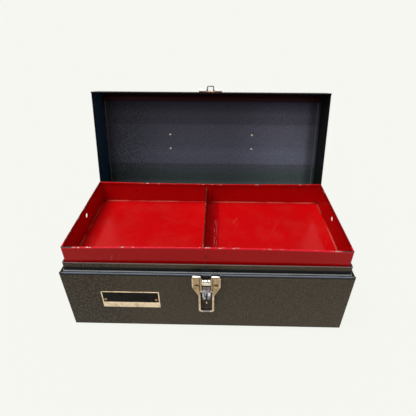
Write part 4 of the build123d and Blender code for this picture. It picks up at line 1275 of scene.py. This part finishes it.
def grown(name, points, tree, values):
    """Runs a Geometry Nodes tree on loose points and keeps the result as a plain mesh."""
    seed = bpy.data.meshes.new(name + "_points")
    seed.from_pydata([tuple(p) for p in points], [], [])
    seeded = bpy.data.objects.new(name + "_points", seed)
    bpy.context.scene.collection.objects.link(seeded)
    modifier = seeded.modifiers.new("grow", "NODES")
    modifier.node_group = tree
    sockets = {s.name: s.identifier for s in tree.interface.items_tree if s.in_out == "INPUT"}
    for socket, value in values.items():
        modifier[sockets[socket]] = value
    seeded.update_tag()
    graph = bpy.context.evaluated_depsgraph_get()
    mesh = bpy.data.meshes.new_from_object(seeded.evaluated_get(graph))
    mesh.name = name
    bpy.data.objects.remove(seeded)
    piece = bpy.data.objects.new(name, mesh)
    bpy.context.scene.collection.objects.link(piece)
    return piece


print("rivets on the handle's brackets:", len(solids_of("handle_rivets")))

# %% [markdown]
# ## Setting the rivets
# A seat is the middle of a rivet's solid, moved out so that the dome's top ends where the solid's
# does. The grip, between head and tail, is what is left of the solid's length. The handle's rivets
# face up on the lid, the strike's face its front, and the latch base's face forward.

# %% Set the rivets
FORWARD = Vector((0.0, -1.0, 0.0))
HEAD_HEIGHT, TAIL_HEIGHT = 0.0011, 0.0009


def set_rivets(node_name, facing, finish):
    """Replaces a node's rivets by grown ones in the same places."""
    seats, grip = [], 0.0
    for solid in solids_of(node_name):
        middle = sum(solid, Vector()) / len(solid)
        reach = [p.dot(facing) for p in solid]
        seats.append(middle + facing * (max(reach) - HEAD_HEIGHT - middle.dot(facing)))
        grip = max(reach) - min(reach) - HEAD_HEIGHT - TAIL_HEIGHT
    piece = grown(node_name + "_domed", seats, RIVETS, {
        "Facing": facing, "Head Height": HEAD_HEIGHT, "Tail Height": TAIL_HEIGHT, "Grip": grip,
        "Finish": finish,
    })
    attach(piece, body_name(node_name))
    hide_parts(node_name)
    print(piece.name, "rivets", len(seats), "grip mm", round(grip * 1000, 2))


set_rivets("handle_rivets", LID_UP, STEEL)
set_rivets("strike_rivets", LID_FRONT, NICKEL)
set_rivets("latch_base_rivets", FORWARD, CHROME)

# %% [markdown]
# ## The nameplate
# The plate on the front is a thin stamped one: a pale raised border, broad along the bottom, round
# a black field. It could be painted with masks, but the border really stands a little proud, so the
# plate is made as rings of points: edge, border and sunk field. The rings have one finish, bare and
# pale, and the field has the other. The field is left bare.

# %% The nameplate's finishes
LINE_WEAR = (0.3, 0.29, 0.26, 1)
STAIN_SHARE = 0.72


def enamel(name, colour, roughness, metallic=0.0, specular=0.2):
    """A plain enamel or bare metal with slight staining."""
    made, tree, shader = blank_material(name, Metallic=metallic, Specular_IOR_Level=specular)
    place = object_place(tree)
    stain = stepped(tree, noise(tree, place, 90.0, 5.0, 0.6), 0.45, 0.7)
    darker = tuple(c * STAIN_SHARE for c in colour)
    tint = mix_colour(tree, stain, (*colour, 1), (*darker, 1))
    marks = use(tree, SCRATCHES, Length=40.0, Fineness=2600.0, Amount=0.35)
    tint = mix_colour(tree, marks.outputs["Mask"], tint, LINE_WEAR)
    feed(tree, shader, Base_Color=tint, Roughness=roughened(tree, stain, 0.15, roughness))
    bumped(tree, shader, noise(tree, place, 700.0, 2.0), 0.08, 0.0003)
    return made


CREAM = enamel("plate_cream", (0.95, 0.755, 0.53), 0.45, 0.6)
BLACK = enamel("plate_black", (0.007, 0.006, 0.004), 0.4, specular=0.06)
print("nameplate finishes:", CREAM.name, BLACK.name)

# %% Build the nameplate
PLATE_LOW, PLATE_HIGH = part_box("nameplate")
SIDE_BORDER, TOP_BORDER, FOOT_BORDER, STEP = 0.0015, 0.0013, 0.0104, 0.0002
PLATE_CORNER, EDGE_CORNER, FIELD_CORNER = 0.001, 0.0008, 0.0007


def ring(x0, x1, z0, z1, corner, y, steps=5):
    """Points round a rectangle with rounded corners, at one depth."""
    points = []
    for cx, cz, start in ((x1 - corner, z1 - corner, 0), (x0 + corner, z1 - corner, 90),
                          (x0 + corner, z0 + corner, 180), (x1 - corner, z0 + corner, 270)):
        for k in range(steps + 1):
            a = math.radians(start + 90 * k / steps)
            points.append((cx + corner * math.cos(a), y, cz + corner * math.sin(a)))
    return points


def build_nameplate():
    """Rings from the plate's back edge over its border and down into its black field."""
    x0, x1, z0, z1 = PLATE_LOW.x, PLATE_HIGH.x, PLATE_LOW.z, PLATE_HIGH.z
    back, face = PLATE_HIGH.y, PLATE_LOW.y
    left, right, foot, top = x0 + SIDE_BORDER, x1 - SIDE_BORDER, z0 + FOOT_BORDER, z1 - TOP_BORDER
    rings = [
        ring(x0, x1, z0, z1, PLATE_CORNER, back),
        ring(x0, x1, z0, z1, PLATE_CORNER, face + STEP),
        ring(x0 + STEP, x1 - STEP, z0 + STEP, z1 - STEP, EDGE_CORNER, face),
        ring(left, right, foot, top, EDGE_CORNER, face),
        ring(left + STEP, right - STEP, foot + STEP, top - STEP, FIELD_CORNER, face + STEP),
    ]
    count = len(rings[0])
    points = [p for r in rings for p in r]
    faces, finish = [], []
    for n in range(len(rings) - 1):
        for k in range(count):
            a, b = n * count + k, n * count + (k + 1) % count
            faces.append((a, b, b + count, a + count))
            finish.append(0)
    faces.append(tuple((len(rings) - 1) * count + k for k in range(count)))
    finish.append(1)
    faces.append(tuple(reversed(range(count))))
    finish.append(0)
    mesh = bpy.data.meshes.new("nameplate_stamped")
    mesh.from_pydata(points, [], faces)
    mesh.materials.append(CREAM)
    mesh.materials.append(BLACK)
    mesh.polygons.foreach_set("material_index", finish)
    form = bmesh.new()
    form.from_mesh(mesh)
    bmesh.ops.recalc_face_normals(form, faces=form.faces)
    form.to_mesh(mesh)
    form.free()
    return mesh


nameplate = bpy.data.objects.new("nameplate_stamped", build_nameplate())
bpy.context.scene.collection.objects.link(nameplate)
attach(nameplate, "case")
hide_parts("nameplate")
print("nameplate mm", [round(v * 1000, 1) for v in PLATE_HIGH - PLATE_LOW])

# %% [markdown]
# ## Floor and background
# The photograph is cut out on an off-white ground. The floor and the world show that colour to the
# camera and to reflections, and the floor mixes in a little of its real shading, so a soft shadow
# stays under the box. Real paper and more light would do it too, but then the box would be lit too
# brightly for its own colours.

# %% The floor
GROUND = (0.93, 0.938, 0.89, 1.0)
FLOOR_SHARE, FLOOR_GLOW = 0.9, 1.035


def seen_directly(tree):
    """1 for camera, mirror and glass rays, 0 for the rays that light the object."""
    path = tree.nodes.new("ShaderNodeLightPath")
    seen = math_node(tree, "MAXIMUM", path.outputs["Is Camera Ray"], path.outputs["Is Glossy Ray"])
    return math_node(tree, "MAXIMUM", seen, path.outputs["Is Transmission Ray"])


def floor():
    """A wide floor just under the box."""
    half, z = 20.0, -0.0004
    mesh = bpy.data.meshes.new("floor")
    corners = [(-half, -half, z), (half, -half, z), (half, half, z), (-half, half, z)]
    mesh.from_pydata(corners, [], [(0, 1, 2, 3)])
    made = bpy.data.materials.new("floor_paper")
    made.use_nodes = True
    tree = made.node_tree
    tree.nodes.clear()
    out = tree.nodes.new("ShaderNodeOutputMaterial")
    matt = add(tree, "ShaderNodeBsdfDiffuse", {"Color": (0.55, 0.55, 0.52, 1.0)})
    shown = add(tree, "ShaderNodeEmission", {"Color": GROUND, "Strength": FLOOR_GLOW})
    share = times(tree, seen_directly(tree), FLOOR_SHARE)
    mixed = add(tree, "ShaderNodeMixShader", {0: share, 1: matt.outputs[0], 2: shown.outputs[0]})
    tree.links.new(mixed.outputs[0], out.inputs["Surface"])
    mesh.materials.append(made)
    laid = bpy.data.objects.new("floor", mesh)
    bpy.context.scene.collection.objects.link(laid)


floor()
print("floor colour", GROUND[:3])

# %% [markdown]
# ## The sky
# The world repeats the floor's trick: off-white where the camera or a mirror sees it, and a dim,
# slightly cool light for the object. A picture of a studio would give livelier reflections, but
# the plain sky keeps every colour about as it is written.

# %% The sky
def sky():
    """Off-white to the camera and in reflections, a dim even light for the rest."""
    world = bpy.data.worlds.new("sky")
    bpy.context.scene.world = world
    world.use_nodes = True
    tree = world.node_tree
    tree.nodes.clear()
    out = tree.nodes.new("ShaderNodeOutputWorld")
    dim = add(tree, "ShaderNodeBackground", {"Color": (0.93, 0.96, 1.0, 1), "Strength": 0.3})
    shown = add(tree, "ShaderNodeBackground", {"Color": GROUND, "Strength": 1.0})
    mixed = add(tree, "ShaderNodeMixShader", {0: seen_directly(tree), 1: dim.outputs[0], 2: shown.outputs[0]})
    tree.links.new(mixed.outputs[0], out.inputs["Surface"])


sky()
print("world:", bpy.context.scene.world.name)

# %% [markdown]
# ## Lamps
# Two broad suns and the dim sky light the object. The stronger sun stands high above the box, a
# little to the left and in front, and lights the tray's floor. The weaker one shines in from the
# front at a lower slant, so the front of the case and the lid's lining aren't lost in shade. Area
# lamps would do as well, but a sun lights every pose of the box alike. Wide angles make both
# shadows soft.

# %% Lamps
def sun(name, towards, strength, width, colour=(1, 1, 1)):
    """A soft sun that shines along a direction; its width is an angle in degrees."""
    lamp = bpy.data.lights.new(name, "SUN")
    lamp.energy = strength
    lamp.angle = math.radians(width)
    lamp.color = colour
    hung = bpy.data.objects.new(name, lamp)
    hung.rotation_euler = Vector(towards).to_track_quat("-Z", "Y").to_euler()
    bpy.context.scene.collection.objects.link(hung)


sun("key", (0.3, 0.12, -1.0), 2.0, 38, (1.0, 0.98, 0.95))
sun("fill", (0.2, 0.6, -0.5), 0.55, 30, (1.0, 0.98, 0.95))
print("lamps:", [lamp.name for lamp in bpy.data.lights])
